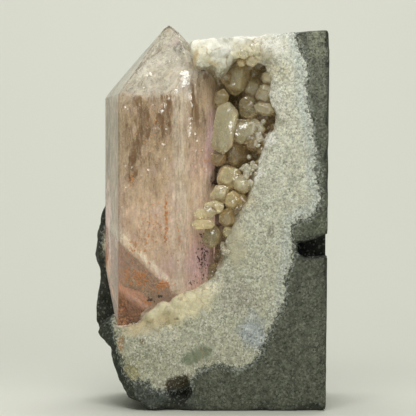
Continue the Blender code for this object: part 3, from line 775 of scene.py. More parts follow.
def sawn_share(x, y, z):
    """1 on the sawn front, right side, top and bottom, falling to 0 a quarter of a millimetre inside."""
    front = soft_step(y, FRONT + 0.25, FRONT + 0.02)
    right = soft_step(x - RIGHT - RIGHT_LEAN * z, -0.25, -0.03)
    top = soft_step(z - TOP - TOP_LEAN * x, -0.25, -0.03)
    return np.clip(front + right + top + soft_step(z, 0.25, 0.02), 0, 1)


def basalt_colours(x, y, z, sawn):
    """Albedo: lighter at the top, darker below, with patches; painted shade makes the pits along the right
    edge near black, the broken faces darker, and the notch and the pit near black.
    """
    tint = mixed(np.array([0.104, 0.113, 0.078]), [0.150, 0.159, 0.112], soft_step(z, 50, 76))
    wobble = 0.3 * bumps(x, y, z, 2.6, 3, 121)
    tint = washed(tint, x, z, PATCHES, 0.5, wobble)
    # Painted shade: a near-black oval at each pit.
    pits = [(22.9, up, 0.8 * size, size, 0, 0.9, 0.02, 0.022, 0.016) for up, size in PITS]
    tint = washed(tint, x, z, pits, 0.3, wobble)
    # Painted shade: broken faces are painted darker.
    tint = mixed(tint, [0.044, 0.050, 0.036], 1 - sawn)
    # Painted shade: the notch and the pit are painted near black.
    hole = np.minimum(notch_field(x, y, z), pit_field(x, y, z))
    return mixed(tint, [0.020, 0.023, 0.017], soft_step(hole, 0.5, 0.15))


x, y, z = basalt_points.T
sawn = sawn_share(x, y, z)
store(basalt_piece, "tint", basalt_colours(x, y, z, sawn))
store(basalt_piece, "sawn", sawn)
store(basalt_piece, "border", bowl_field(x, y, z))
print("sawn share of the basalt's points:", round(float(sawn.mean()), 2))


# %% Basalt finish
def dark_basalt():
    """Stored colour times grain, pale and black grains, white grains toward the border, and blade lines."""
    made, shader, place = blank_finish("basalt")
    sawn = stored(place, "sawn")
    grit = grain(place, 0.28, 1.25, 0.4)
    colour = layered(
        shaded(stored(place, "tint"), grit["Shade"]),
        (grit["Dark"] * 0.55, (0.035, 0.04, 0.03)),
        (grit["Light"] * 0.42, (0.30, 0.31, 0.24)),
    )
    colour = shaded(colour, ramp(noise(place, 5.5, 3.0, 0.6, (0.5, 1, 1.6)), 0.35, 0.7, 0.86, 1.16))
    white = ramp(ragged_border(place, 0.55, 6.5), 0.15, -0.5, 0.0, 0.75)
    blade = noise(place, 0.5, 2.0, 0.5, (1, 1, 30)) * sawn
    broken = noise(place, 1.6, 4.0, 0.65) * ramp(sawn, 0.0, 1.0, 3.2, 0.3)
    put(shader, {
        "Base Color": layered(colour, (white, (0.42, 0.45, 0.40))),
        "Roughness": ramp(sawn, 0.0, 1.0, 0.86, 0.62),
        "Normal": bump(grit["Height"] + blade + broken, 0.12, 0.7),
    })
    return made


basalt_piece.data.materials.append(dark_basalt())

# %% [markdown]
# ## A solid from its planes
#
# Three planes meet in a point, and a point belongs to the crystal if it lies on the inner side of every
# plane. The points on one plane, sorted by their angle round the middle of the face, are that face's border.
# This is how a crystal is drawn from its measured angles, and it keeps each face truly flat.

# %% Corners and faces of a convex solid
def solid_of_planes(planes):
    """Corners are the meeting points of three planes that no plane cuts off; a face's go round by angle."""
    normals = np.array([normal for normal, _ in planes])
    distances = np.array([distance for _, distance in planes])
    count = len(planes)
    triples = np.array([(i, j, k) for i in range(count) for j in range(i) for k in range(j)])
    triples = triples[np.abs(np.linalg.det(normals[triples])) > 1e-4]
    corners = np.linalg.solve(normals[triples], distances[triples][..., None])[..., 0]
    kept = (corners @ normals.T - distances).max(axis=1) < 1e-5
    corners = np.unique(np.round(corners[kept], 5), axis=0)
    faces = []
    for normal, distance in planes:
        on = np.flatnonzero(np.abs(corners @ normal - distance) < 1e-3)
        if len(on) > 2:
            aside = unit(np.cross(normal, [0.3, 0.5, 0.81]))
            arms = corners[on] - corners[on].mean(axis=0)
            faces.append(on[np.argsort(np.arctan2(arms @ np.cross(normal, aside), arms @ aside))].tolist())
    return home(corners), faces


# %% The big crystal with the blunt crystal beside it
STUB_AXIS = np.array([-1.4, -3.4, 0.0])
STUB_TOP = STUB_AXIS + [0, 0, 69.6]


def stub_planes(inset=0.0):
    """Planes of the blunt crystal: sides parallel to the big one's, low end faces, and a slanting foot."""
    planes = []
    for i, radius in enumerate((2.5, 2.55, 2.5, 2.5, 2.5, 2.5)):
        azimuth = TURN + math.radians(60 * i)
        level, cap = outward(azimuth), outward(azimuth, math.radians(62 if i % 2 else 70))
        planes += [(level, level @ STUB_AXIS + radius - inset), (cap, cap @ STUB_TOP - inset)]
    foot = unit([0.75, 0.1, -0.66])
    return planes + [(foot, foot @ (STUB_AXIS + np.array([2.5, 0, 50.0])))]


def joined(first, second):
    """One closed mesh from two overlapping solids, by an exact Boolean union, applied."""
    objects = [placed("part", new_mesh("part", *solid)) for solid in (first, second)]
    union = objects[0].modifiers.new("union", "BOOLEAN")
    union.object = objects[1]
    union.solver = "EXACT"
    bpy.context.view_layer.update()
    evaluated = objects[0].evaluated_get(bpy.context.evaluated_depsgraph_get())
    mesh = bpy.data.meshes.new_from_object(evaluated)
    for made in objects:
        bpy.data.objects.remove(made)
    return mesh


crystal_mesh = joined(solid_of_planes(glass_planes(0.6)), solid_of_planes(stub_planes()))
crystal_mesh.name = "amethyst_glass"
crystal_piece = placed("amethyst_glass", crystal_mesh)
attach(crystal_piece, "root")
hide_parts("amethyst_crystal")
bevel = crystal_piece.modifiers.new("worn edges", "BEVEL")
bevel.width = 0.12 * MM
bevel.segments = 2
bevel.limit_method = "ANGLE"
print("crystal corners:", len(crystal_mesh.vertices), "faces:", len(crystal_mesh.polygons))

# %% [markdown]
# ## Clear quartz
#
# The skin of the crystal is real glass to the renderer: it bends light by quartz's index of 1.544 and
# takes a trace of colour over its depth. Lamps have to reach what is inside, so rays toward a lamp pass
# straight through. Fine steps across the prism faces, where the crystal grew in layers, are a faint bump.

# %% Glass finish
QUARTZ_IOR = 1.544


def clear_amethyst():
    """Transmission and index, a faint stepped bump, rays toward lamps let through, absorption inside."""
    made, shader, place = blank_finish("amethyst glass")
    steps = noise(place, 0.9, 3.0, 0.6, (9, 9, 1)) + noise(place, 1.6, 2.0, 0.5, (1, 1, 7))
    put(shader, {
        "Base Color": (1, 1, 1),
        "Transmission Weight": 1.0,
        "IOR": QUARTZ_IOR,
        "Roughness": 0.03,
        "Normal": bump(steps, 0.03, 0.5),
    })
    clear = node(place.tree, "BsdfTransparent", {"Color": (0.97, 0.95, 0.95)})[0]
    to_lamp = Value(place.tree.nodes.new("ShaderNodeLightPath").outputs["Is Shadow Ray"])
    both = node(place.tree, "MixShader", {0: to_lamp, 1: Value(shader.outputs[0]), 2: clear})[0]
    inside = node(place.tree, "VolumeAbsorption", {"Color": (0.86, 0.70, 0.74), "Density": 8.0})[0]
    put(place.tree.nodes["Material Output"], {"Surface": both, "Volume": inside})
    return made


crystal_piece.data.materials.append(clear_amethyst())

# %% [markdown]
# ## What is inside: phantoms and veils
#
# A quartz crystal that grew in stages keeps each earlier surface as a ghost, dusted with what settled on
# it. Two such surfaces are set into the glass, the planes of the crystal moved inward. Each carries colour
# and a cover, the share of light it stops: smoky brown veils in the upper part, an even cream and lilac milk
# below, and iron-red dust where the foot of the crystal touches the rock. Because they lie at two depths,
# they shift against each other as the piece is turned.

# %% Zones of colour with their cover, and smoky veils
# Each row: middle across and up, two radii, turn, strength, colour, cover. The last row's dark brown, beside
# the hollow, is partly iron stain and partly painted shade.
ZONES = table("""
-10 74 14 9 0 1 0.9 0.86 0.68 0.42 | -13 57 9 8 0 0.95 0.68 0.53 0.32 0.66
-13 47 9 5 0 0.9 0.84 0.68 0.45 0.66 | -5.6 65.4 1.3 3.2 0 0.9 1 0.96 0.86 0.9
-1.9 64 2.5 6 0 0.95 0.8 0.64 0.42 0.95 | -0.6 53.5 1.3 6.2 -3 0.9 0.95 0.72 0.72 0.9
-4.6 50 2.2 3.4 0 0.6 0.98 0.78 0.62 0.75 | -20.6 54 1.7 14 0 0.9 0.96 0.91 0.72 0.85
-20.2 36 1.9 12 0 0.9 0.99 0.89 0.73 0.88 | -5 38 4 8 0 0.9 1 0.85 0.66 0.9
-2.4 28 3.6 6.6 12 0.95 1 0.74 0.68 0.92 | -7 28.4 3.2 3 0 0.6 0.95 0.73 0.68 0.9
-0.9 31 1.6 3.4 0 0.8 0.88 0.58 0.64 0.92 | -9.2 26.5 3.4 2 -40 0.6 0.78 0.58 0.45 0.85
0.5 32.8 1.35 5.4 -6 0.97 0.17 0.105 0.05 0.97
""")
VEILS = table("""
-14.4 54.6 0.9 5 -26 1 | -16.3 49.6 0.9 4.2 -4 1 | -14 59.6 2 3.2 -20 0.85 | -9.4 59.4 1.5 3.4 -30 0.95
-9.7 55.4 1.5 3 -20 0.8 | -3.3 59.2 0.9 2.6 5 1.1 | -5.7 54.8 1.4 2.8 25 0.75 | -8.9 63.1 0.6 0.5 0 1.1
-12.4 50.4 3 2.4 0 0.7 | -15.8 62 2.2 1.2 0 0.85 | -12 62.4 3.4 1.1 0 0.85 | -15.4 56.6 2.6 4 -15 0.6
-1 68.4 2.8 1 -8 0.95 | -4.1 62.6 0.45 5.4 0 1.3 | -17.6 44.6 0.4 3 0 0.6 | -11.6 45 0.5 2.6 0 0.5
""")


# %% The zones of the free faces
def strip_share(x, y, z):
    """The pale upright strip behind the edge between the two front faces: 1 on it, with soft borders."""
    return soft_step(x, -7.9, -7.7) * soft_step(x, -5.2, -6.4) * soft_step(z, 68, 62) * soft_step(y, -4, -8)


def crystal_zones(x, y, z):
    """Colour and cover at each point: a cream milk that thins out upward, then the zones, then the strip."""
    milk = 0.35 + 0.5 * soft_step(z, 66, 40)
    zones = np.concatenate([np.tile([0.94, 0.76, 0.55], (len(x), 1)), milk[:, None]], axis=1)
    zones = washed(zones, x, z, ZONES, 0.5, 0.28 * bumps(x, y, z * 0.45, 2.4, 3, 131))
    return mixed(zones, [1.0, 0.92, 0.73, 0.9], 0.8 * strip_share(x, y, z))


# %% The contact faces, seen from within
def below_edge(x, z):
    """How far a point is below the upper edge of the contact face as seen through the front."""
    return 34.0 - 0.93 * (x + 18.7) - z


def below_line(x, z):
    """How far a point is below the bright line that crosses the contact face lower down."""
    return 23.2 - 0.74 * (x + 16.9) - z


def slant_zones(x, y, z):
    """Colour of the contact faces as seen through the front: purple above, orange below it, dark red-brown
    at the lower left behind a bright line."""
    wobble = bumps(x, y, z, 1.5, 3, 141)
    orange = soft_step(below_edge(x, z) + 0.9 * wobble, 2.5, 7.0)
    colour = mixed(np.array([0.95, 0.72, 0.64]), [0.80, 0.50, 0.34], orange)
    second = below_line(x, z)
    colour = mixed(colour, [0.062, 0.020, 0.007], soft_step(second + 0.5 * wobble, -0.2, 1.6))
    line = bell(second + 0.1, 0.28) * soft_step(x, -17.4, -16.4) * soft_step(x, -12.0, -13.0)
    return mixed(colour, [0.95, 0.72, 0.50], 0.8 * line)


def contact_share(points, sink):
    """1 on the contact faces, and on the ragged low wall behind them; 0 on the free faces."""
    x, y, z = points.T
    touching = np.maximum(REST_SLOPE @ (points - REST_AT).T, FOOT_SLOPE @ (points - FOOT_AT).T) - sink
    uneven = 1.5 * bumps(x, y, z, 3.5, 3, 143)
    wall = soft_step(y + 0.7 * uneven, -6.5, -4.0) * soft_step(z + 2 * uneven, 47, 41)
    return np.maximum(soft_step(touching, -0.35, -0.1), wall)


# %% The finish of a phantom
def phantom_dust(name, seed):
    """Stored colour with long fine streaks; a stored cover broken up by streaks and flecks, on the alpha; and
    as emission, a stored painted glow with painted glints.
    """
    made, shader, place = blank_finish(name)
    place = node(place.tree, "Mapping", {0: place, 1: (0.01 * seed, 0.013 * seed, 0.017 * seed)})[0]
    veil, rust = stored(place, "veil"), stored(place, "rust")
    streaks = noise(place, 0.8, 4.0, 0.62, (1, 1, 3.5))
    dust = noise(place, 0.4, 3.0, 0.7)
    patches = noise(place, 2.6, 4.0, 0.6, (1, 1, 1.8))
    tone = noise(place, 2.4, 3.0, 0.65, (1, 1, 1.5))
    fibres = (noise(place, 0.55, 4.0, 0.65, (1, 1, 4)) - 0.5) * 3.4
    smoke = ramp(veil + fibres, 0.45, 1.15) * ramp(veil, 0.0, 0.4, 0.12, 0.92)
    spots = ramp(noise(place, 0.38, 3.0, 0.7, (1, 1, 2)) + rust * 0.16, 0.63, 0.70)
    fine = ramp(streaks, 0.3, 0.7, 0.88, 1.10), ramp(dust, 0.3, 0.7, 0.74, 1.18)
    colour = layered(
        shaded(stored(place, "tint"), *fine),
        (ramp(patches, 0.55, 0.75, 0.0, 0.35), (0.98, 0.92, 0.80)),
        (ramp(tone, 0.54, 0.68, 0.0, 0.38), (0.86, 0.66, 0.72)),
        (ramp(tone, 0.46, 0.34, 0.0, 0.38), (0.66, 0.46, 0.20)),
        (smoke, (0.165, 0.082, 0.020)),
        (spots * ramp(rust, 0.0, 0.1, 0.0, 0.85), (0.74, 0.34, 0.13)),
    )
    cover = stored(place, "cover") * ramp(streaks, 0.25, 0.7, 0.62, 1.25)
    cover = cover * ramp(patches, 0.3, 0.65, 0.7, 1.2)
    # Painted glints: small pale spots added to the painted glow as emission.
    glints = ramp(noise(place, 0.36, 3.0, 0.65), 0.63, 0.70)
    put(shader, {
        "Base Color": colour,
        "Alpha": node(place.tree, "Clamp", {0: calc("MAXIMUM", cover, smoke)})[0],
        "Emission Color": layered(stored(place, "painted_glow"), (glints, (0.72, 0.66, 0.55))),
        "Emission Strength": 0.5,
        "Roughness": 0.45,
        "Normal": bump(streaks, 0.2, 0.4),
    })
    return made


# %% One phantom: its surface, and what is stored on its points
# How far a plane leans up before it counts as a face of the point
LEVEL = 0.1


def phantom(name, planes, sink, strength, seat, seed, cap=(0.80, 0.78, 0.62, 0.34), painted_cap_glow=0.0):
    """A grown-over surface: the crystal's planes set in. Its cover is the zones' times the strength; on the
    contact faces it is the seat's, and in front of them nearly none, so that they are seen from within. The
    faces of the point take the cap's colour and cover."""
    step = 0.4
    corner = np.array([-23.0, -16.0, 13.0])
    field = beyond(planes, *space(corner, (3.5, 9.0, 81.0), step)).astype(np.float32)
    points, faces = skin(field, corner, step)
    made = piece(name, points, faces, "amethyst", sharp=25)
    x, y, z = points.T
    zones = crystal_zones(x, y, z)
    contact = contact_share(points, sink)
    below = below_edge(x, z)
    triangle = soft_step(below, 0.0, 0.8) * soft_step(x, -3, -8) * (1 - contact)
    zones[:, 3] = np.where(contact > 0.5, seat, zones[:, 3] * strength * (1 - 0.93 * triangle))
    tops = beyond([plane for plane in planes if plane[0][2] > LEVEL], x, y, z)
    walls = beyond([plane for plane in planes if abs(plane[0][2]) < LEVEL], x, y, z)
    capped = soft_step(tops - walls, -0.25, 0.25)
    zones = mixed(zones, cap, capped)
    band = bell(below + 1.1, 0.9) * soft_step(x, -6, -9) * (1 - contact)
    colour = mixed(mixed(zones[:, :3], slant_zones(x, y, z), contact), [0.98, 0.90, 0.72], 0.75 * band)
    # Painted glow from within: the contact faces, the lower right part and the right side glow, and the point
    # by the cap's glow, standing in for light that the lamps barely bring there.
    painted_glow_share = 0.82 * contact + 0.9 * soft_step(x, -2.6, -1.4) * soft_step(z, 42, 37)
    painted_glow_share = 0.45 * (painted_glow_share + 0.25 * soft_step(x, -7, -2) * (1 - contact) + painted_cap_glow * capped)
    veiled = shares(x, y, z, VEILS, 0.5, 0.6 * bumps(x, y, z * 0.5, 1.5, 3, 133))
    veiled = veiled * (1 - capped) * (1 - contact) * (1 - strip_share(x, y, z))
    dark_corner = soft_step(below_line(x, z), 0.0, 1.8) * contact
    rust = 0.16 * soft_step(z, 50, 30) * soft_step(below, -12, 3)
    rust = rust + 0.7 * contact * soft_step(below, 3.0, 7.5)
    store(made, "tint", colour)
    store(made, "cover", np.clip(zones[:, 3] + 0.5 * band, 0, 1))
    store(made, "painted_glow", colour * painted_glow_share[:, None])
    store(made, "veil", np.maximum(veiled, 0.85 * dark_corner))
    store(made, "rust", np.clip(rust, 0, 1))
    made.data.materials.append(phantom_dust(name + " dust", seed))


phantom("phantom_outer", glass_planes(0.2, 0.35), 0.2, 0.62, 0.97, 1)
phantom("phantom_inner", glass_planes(-0.3, 3.4), -0.3, 1.0, 0.15, 2)
# The blunt crystal's point gets a painted glow of 0.9, standing in for light on its shaded top.
phantom("stub_veil", stub_planes(0.3), 9.0, 1.0, 0.9, 3, (0.78, 0.67, 0.46, 0.95), 0.9)

# %% [markdown]
# ## Flakes and flecks
#
# Small healed cracks inside the crystal flash white: thin, uneven flakes just under the faces. Iron left
# orange flecks in upright trains and black dots near the edges. There are hundreds, so each is only a few
# faces, and all of one kind are worked out as one array: a little shape, turned, sized and put in place.

# %% Where things lie under the faces
# Where the camera stood when the places on the front plane were measured
EYE = np.array([-0.9, -316.0, 40.6])


def front_face(x, z):
    """Depth of the crystal's front skin at across and up: the deepest of the planes that face the front."""
    planes = [(normal, distance) for normal, distance in glass_planes() if normal[1] < -0.05]
    depths = [(normal[0] * x + normal[2] * z - distance) / -normal[1] for normal, distance in planes]
    return np.max(depths, axis=0)


def seen_at(across, up, depth):
    """Point at a given depth that covers a place measured on the front plane, on the line from the eye."""
    share = (depth - EYE[1]) / (FRONT - EYE[1])
    middle, _, level = EYE
    up = level + (up - level) * share
    return np.stack([middle + (across - middle) * share, depth + 0 * across, up], -1)


def scattered(groups, reach, dice):
    """Rows of a table repeated by their fifth number, and places about each row's middle: a normal draw
    times the row's spread across or up, times the reach."""
    rows = np.repeat(np.array(groups), [int(row[4]) for row in groups], axis=0)
    across = rows[:, 0] + rows[:, 2] * dice.normal(size=len(rows)) * reach
    return rows, across, rows[:, 1] + rows[:, 3] * dice.normal(size=len(rows)) * reach


def turned(normals, dice):
    """Frames whose third axis is each given normal, turned about it by a random angle."""
    third = normals / np.linalg.norm(normals, axis=1, keepdims=True)
    first = np.cross(dice.normal(size=third.shape), third)
    first /= np.linalg.norm(first, axis=1, keepdims=True)
    return np.stack([first, np.cross(third, first), third], 1)


def copies(shape, faces, frames, sizes, middles):
    """Copies of a small shape: points times size, along each frame, from each middle; faces renumbered."""
    points = np.einsum("cmi,cij->cmj", shape * sizes[:, None, :], frames) + middles[:, None, :]
    numbered = faces[None] + points.shape[1] * np.arange(len(points))[:, None, None]
    return points.reshape(-1, 3), numbered.reshape(-1, faces.shape[1])


# %% Healed cracks
def flake_shapes(count, dice):
    """Thin closed lenses: a ring of eight points at uneven radii, with a middle point on each side."""
    place = np.arange(8)
    angles = place * math.pi / 4
    radii = dice.uniform(0.45, 1.0, (count, 8))
    lift = 0.18 * dice.normal(size=(count, 8))
    ring = np.stack([radii * np.cos(angles), radii * np.sin(angles), lift], -1)
    poles = np.zeros((count, 2, 3))
    poles[:, 0, 2], poles[:, 1, 2] = 0.16, -0.02
    after = np.roll(place, -1)
    top = np.stack([place, after, np.full(8, 8)], 1)
    under = np.stack([after, place, np.full(8, 9)], 1)
    return np.concatenate([ring, poles], 1), np.concatenate([top, under])


# Each row: middle across and up, spread across and up, how many, size
FLAKES = table("""
-5.6 66.2 0.6 1.5 20 0.85 | -4.7 62.6 0.5 1.6 16 0.7 | -10.2 59.9 0.4 0.5 14 0.5 | -9.4 61 0.4 0.5 14 0.5
-8.6 62.2 0.4 0.5 12 0.45 | -7.4 63.4 0.4 0.5 5 0.45 | -17.1 60.6 0.4 0.4 4 0.5 | -9.2 48.6 0.8 2 9 0.4
-4.9 56.2 0.5 1.1 7 0.42 | -12.2 67.2 1.2 0.4 6 0.5 | -13.2 46.6 2.8 1.4 9 0.3 | -4.4 49.6 2.2 2.6 12 0.3
-4.4 57.6 0.8 1.2 14 0.3 | -3.4 54.6 1 1.6 16 0.26 | -9.8 53.2 0.5 0.4 5 0.3 | -1.8 53.2 1.2 4.4 8 0.26
-16.9 47.6 0.9 1.8 7 0.32 | -14.6 33.2 1.8 1.2 6 0.26 | -3 66 1 2.4 6 0.36 | -11 58 5 5 14 0.2
-8.6 71 1.6 1.6 4 0.3
""")


def flakes():
    """Groups of flakes spread about their middles, a little under the front skin, mostly tilted upward."""
    dice = np.random.default_rng(31)
    rows, across, up = scattered(FLAKES, 0.6, dice)
    depth = front_face(across, up) + dice.uniform(0.25, 1.2, len(rows)) ** 2 + 0.25
    normals = np.array([-0.3, -0.9, 0.6]) + 0.75 * dice.normal(size=(len(rows), 3))
    shape, faces = flake_shapes(len(rows), dice)
    sizes = np.repeat(rows[:, 5:6] * dice.uniform(0.4, 1.7, (len(rows), 1)), 3, axis=1)
    sizes[:, 1] *= dice.uniform(0.25, 0.8, len(rows))
    points, faces = copies(shape, faces, turned(normals, dice), sizes, seen_at(across, up, depth))
    return piece("healed_cracks", points, faces, "amethyst")


flake_piece = flakes()
# The white flash of the cracks is a painted reflection: white colour and a painted glow as emission.
glint_glow_finish, shader, place = blank_finish("crack glint")
put(shader, {
    "Base Color": (0.97, 0.95, 0.90),
    "Roughness": 0.18,
    "Emission Color": layered((0.55, 0.50, 0.42), (noise(place, 0.5), (1.0, 0.98, 0.94))),
    "Emission Strength": 0.22,
    "Alpha": ramp(noise(place, 0.35), 0.3, 0.55, 0.25, 1.0),
})
flake_piece.data.materials.append(glint_glow_finish)

# %% Iron flecks and black dots
# Each row: middle across and up, spread across and up, how many, size
ORANGE = table("""
-9.3 38 0.5 7 80 0.13 | -12.4 36 3.8 7 90 0.11 | -16.2 46 1 2.4 24 0.12 | -14.2 26.6 2.6 2.2 150 0.12
-10.2 25.2 2.2 1.6 90 0.12 | -17 27.4 1 2.4 50 0.12 | -6.8 36 0.8 7 40 0.11 | -15.6 33 2.2 4 50 0.11
-12 56 5 7 70 0.08 | -9.2 25.4 2.6 0.4 20 0.11 | -1.4 49.6 1.6 3.6 22 0.1 | -12.6 21.6 1.6 0.8 22 0.13
""")
BLACK = table("""
0.2 45.6 0.9 1.3 34 0.13 | -1.9 30.8 2 5.2 90 0.12 | -2.2 35 0.7 1.2 16 0.11 | -12.4 22.2 1.2 0.6 20 0.15
-10.4 22.8 0.5 0.4 7 0.14 | -1.4 68 2.2 0.35 16 0.1 | -4.2 25.6 1.2 0.6 12 0.1 | -15.6 18 1.6 0.8 12 0.17
0.6 62 0.3 3 12 0.11
""")


def flecks(name, groups, seed):
    """Grains as flattened eight-sided crystals just under the skin, in trains and clouds."""
    dice = np.random.default_rng(seed)
    rows = np.repeat(np.array(groups), [int(row[4]) for row in groups], axis=0)
    count = len(rows)
    across = rows[:, 0] + rows[:, 2] * dice.uniform(-1, 1, count) * dice.uniform(0.2, 1, count)
    up = rows[:, 1] + rows[:, 3] * dice.uniform(-1, 1, count) * dice.uniform(0.2, 1, count)
    depth = front_face(across, up) + dice.uniform(0.1, 0.5, count)
    shape = np.array(table("1 0 0 | -1 0 0 | 0 1 0 | 0 -1 0 | 0 0 1 | 0 0 -1"))
    faces = np.array(table("0 2 4 | 2 1 4 | 1 3 4 | 3 0 4 | 2 0 5 | 1 2 5 | 3 1 5 | 0 3 5"), int)
    sizes = rows[:, 5:6] * dice.uniform(0.8, 2.6, (count, 1)) * dice.uniform(0.5, 1.1, (count, 3))
    frames = turned(dice.normal(size=(count, 3)), dice)
    shape = np.broadcast_to(shape, (count, 6, 3))
    return piece(name, *copies(shape, faces, frames, sizes, seen_at(across, up, depth)), "amethyst")


def rust(name, first, second, roughness):
    """Two colours mixed by a fine noise, for iron in its two states."""
    made, shader, place = blank_finish(name)
    put(shader, {"Base Color": layered(first, (noise(place, 0.3), second)), "Roughness": roughness})
    return made


orange_flecks = flecks("iron_flecks", ORANGE, 41)
orange_flecks.data.materials.append(rust("iron rust", (0.60, 0.25, 0.08), (0.82, 0.48, 0.22), 0.6))
black_dots = flecks("black_dots", BLACK, 42)
black_dots.data.materials.append(rust("black iron", (0.025, 0.018, 0.012), (0.10, 0.06, 0.035), 0.35))

# %% [markdown]
# ## The small crystals in the hollow
#
# They are quartz as well, but partly dissolved, so their edges are round and they look like pebbles with
# faces. One formula gives both: the distance from the middle to the skin, in any direction, is set by all
# faces at once, through a power sum. A high power keeps the faces sharp, a low one melts them together.

# %% A rounded crystal in any size and direction
def crystal_faces(length_share):
    """Directions and distances of six sides, at 1, and of six faces at each end of a given half length."""
    turns = np.arange(6) * math.pi / 3
    sides = np.stack([np.cos(turns), np.sin(turns), 0 * turns], 1)
    slopes = np.stack([0.72 * np.cos(turns), 0.72 * np.sin(turns), 0.694 + 0 * turns], 1)
    ends = 0.83 * length_share * np.array([0.92, 1.06, 0.94, 1.08, 0.93, 1.05])
    return np.concatenate([sides, slopes, slopes * [1, 1, -1]]), np.concatenate([np.ones(6), ends, ends])


def ball(rings, columns):
    """Directions on a sphere, ring by ring, with one point at each pole, and the faces between them. The
    faces at a pole are triangles, written with their last point twice."""
    level = np.linspace(0, math.pi, rings + 1)[1:-1, None]
    turn = np.linspace(0, 2 * math.pi, columns, endpoint=False)
    way = np.broadcast_arrays(np.sin(level) * np.cos(turn), np.sin(level) * np.sin(turn), np.cos(level))
    points = np.concatenate([np.stack(way, -1).reshape(-1, 3), [[0, 0, 1], [0, 0, -1]]])
    tag = np.arange((rings - 1) * columns).reshape(rings - 1, columns)
    after = np.roll(tag, -1, axis=1)
    bands = np.stack([tag[:-1], tag[1:], after[1:], after[:-1]], -1).reshape(-1, 4)
    top, low = (np.full(columns, len(points) - i) for i in (2, 1))
    caps = np.stack([top, tag[0], after[0], after[0]], 1)
    feet = np.stack([low, after[-1], tag[-1], tag[-1]], 1)
    return points, np.concatenate([bands, caps, feet])


def rounded_crystals(middles, ways, radii, halves, rings, columns, power, seed):
    """A crystal's skin is at (sum of (direction . normal / distance)^power) ^ (-1 / power) from its middle,
    over the faces that look that way, with a little lattice noise; then sized, turned and put in place."""
    directions, faces = ball(rings, columns)
    shapes = []
    for share in halves / radii:
        normals, distances = crystal_faces(share)
        reach = np.clip(directions @ normals.T / distances, 0, None)
        shapes.append(directions * (np.sum(reach**power, axis=1) ** (-1 / power))[:, None])
    frames = turned(ways, np.random.default_rng(seed))
    points, faces = copies(np.array(shapes), faces, frames, np.repeat(radii[:, None], 3, axis=1), middles)
    centre = np.repeat(middles, len(directions), axis=0)
    uneven = 1 + 0.06 * bumps(*points.T, 2.2, 3, 151)[:, None]
    return centre + (points - centre) * uneven, faces, len(directions)


# %% The crystals that are seen one by one
# Each row: across, up, depth, direction (across, depth, up), radius, half length, colour
MEASURED = table("""
4.9 66.9 -8.6 0.15 -0.35 1 2.45 3.8 0.8 0.68 0.42 | 8.1 64.6 -8 0.4 -1 0.25 1.95 2.3 0.74 0.65 0.44
1.9 62.6 -8 0.2 -0.4 1 1.25 2 0.72 0.62 0.4 | 7.5 60.7 -9.6 0.75 -0.8 -0.45 2.15 2.8 0.6 0.52 0.34
2.5 56.5 -10.8 0.16 -0.22 1 2.2 5.2 0.97 0.87 0.64 | 6.9 56 -10.2 1 -0.3 0.06 2.3 3.7 0.97 0.88 0.65
8.3 53.6 -11.4 0.3 -1 0.3 1.55 1.9 0.62 0.47 0.27 | 4.6 51.6 -8 -0.2 -1 0.3 2.6 3 0.5 0.39 0.22
3.3 46.6 -9.6 -0.3 -0.7 0.75 2.3 3 0.92 0.8 0.54 | 6 45.4 -11.6 0.5 -1 0.35 1.75 2.2 0.96 0.88 0.64
1.5 43.4 -10.4 0.4 -0.6 0.6 1.75 2.4 0.92 0.83 0.59 | 4.2 42.2 -11.6 0.2 -1 0.2 1.75 2.1 0.86 0.74 0.47
0.2 40.6 -11.2 0.9 -0.5 0.25 1.4 2.3 0.94 0.86 0.62 | -1.6 39.6 -12.6 1 -0.25 0.1 0.95 2.2 0.95 0.88 0.66
-1.8 37.4 -12.8 1 -0.25 0.05 0.95 2.3 0.9 0.82 0.6 | 3 38.6 -11.2 0.1 -1 0.4 1.75 2.2 0.58 0.47 0.27
-0.1 34.9 -11.2 0.2 -0.3 1 1.7 2.6 0.42 0.38 0.23 | 3.1 35.8 -12.2 0.3 -1 0.3 1.05 1.3 0.82 0.74 0.5
2.4 30.6 -12.4 0.05 -0.2 1 0.65 2.7 0.66 0.59 0.38 | 2.2 33.2 -12.6 0.2 -0.8 0.6 0.65 0.9 1 0.95 0.76
8.8 72.4 -14.5 0.5 -0.5 0.7 1.6 2 0.93 0.93 0.83 | 6.2 71.9 -14.6 -0.4 -0.6 0.6 1.35 1.7 0.93 0.91 0.79
10.6 71.6 -14.6 0.7 -0.6 0.3 1.25 1.5 0.92 0.9 0.78 | 7.9 70.6 -13.9 0.15 -0.35 -1 1.3 1.9 0.9 0.84 0.64
5.9 69.9 -13 -0.5 -0.5 -0.8 0.8 1.2 0.88 0.78 0.54 | 10.2 62.4 -9.4 0.9 -1 0.3 1.6 1.9 0.5 0.39 0.22
9.9 58.6 -9.6 0.6 -1 0.2 1.6 1.8 0.46 0.33 0.18 | 1.2 50.6 -9 0.6 -0.9 0.25 1.6 2 0.58 0.45 0.27
10.5 63.5 -12.2 0.5 -0.4 0.9 1.45 2.3 0.95 0.84 0.6
10.3 60.5 -12.6 0.9 -0.3 -0.3 1.15 2.2 0.93 0.84 0.62
11.2 66.6 -12.8 0.2 -0.9 0.6 1.35 1.7 0.93 0.84 0.62
""")

# %% Their shapes, brown where they touch (partly iron stain, partly painted shade), and a painted glow that is stronger in two bands of height
measured = np.array(MEASURED)
across, up, depth, *_, radii, halves = measured[:, :8].T
middles, ways = seen_at(across, up, depth), measured[:, 3:6]
seen_points, seen_faces, each = rounded_crystals(middles, ways, radii, halves, 30, 48, 26.0, 51)


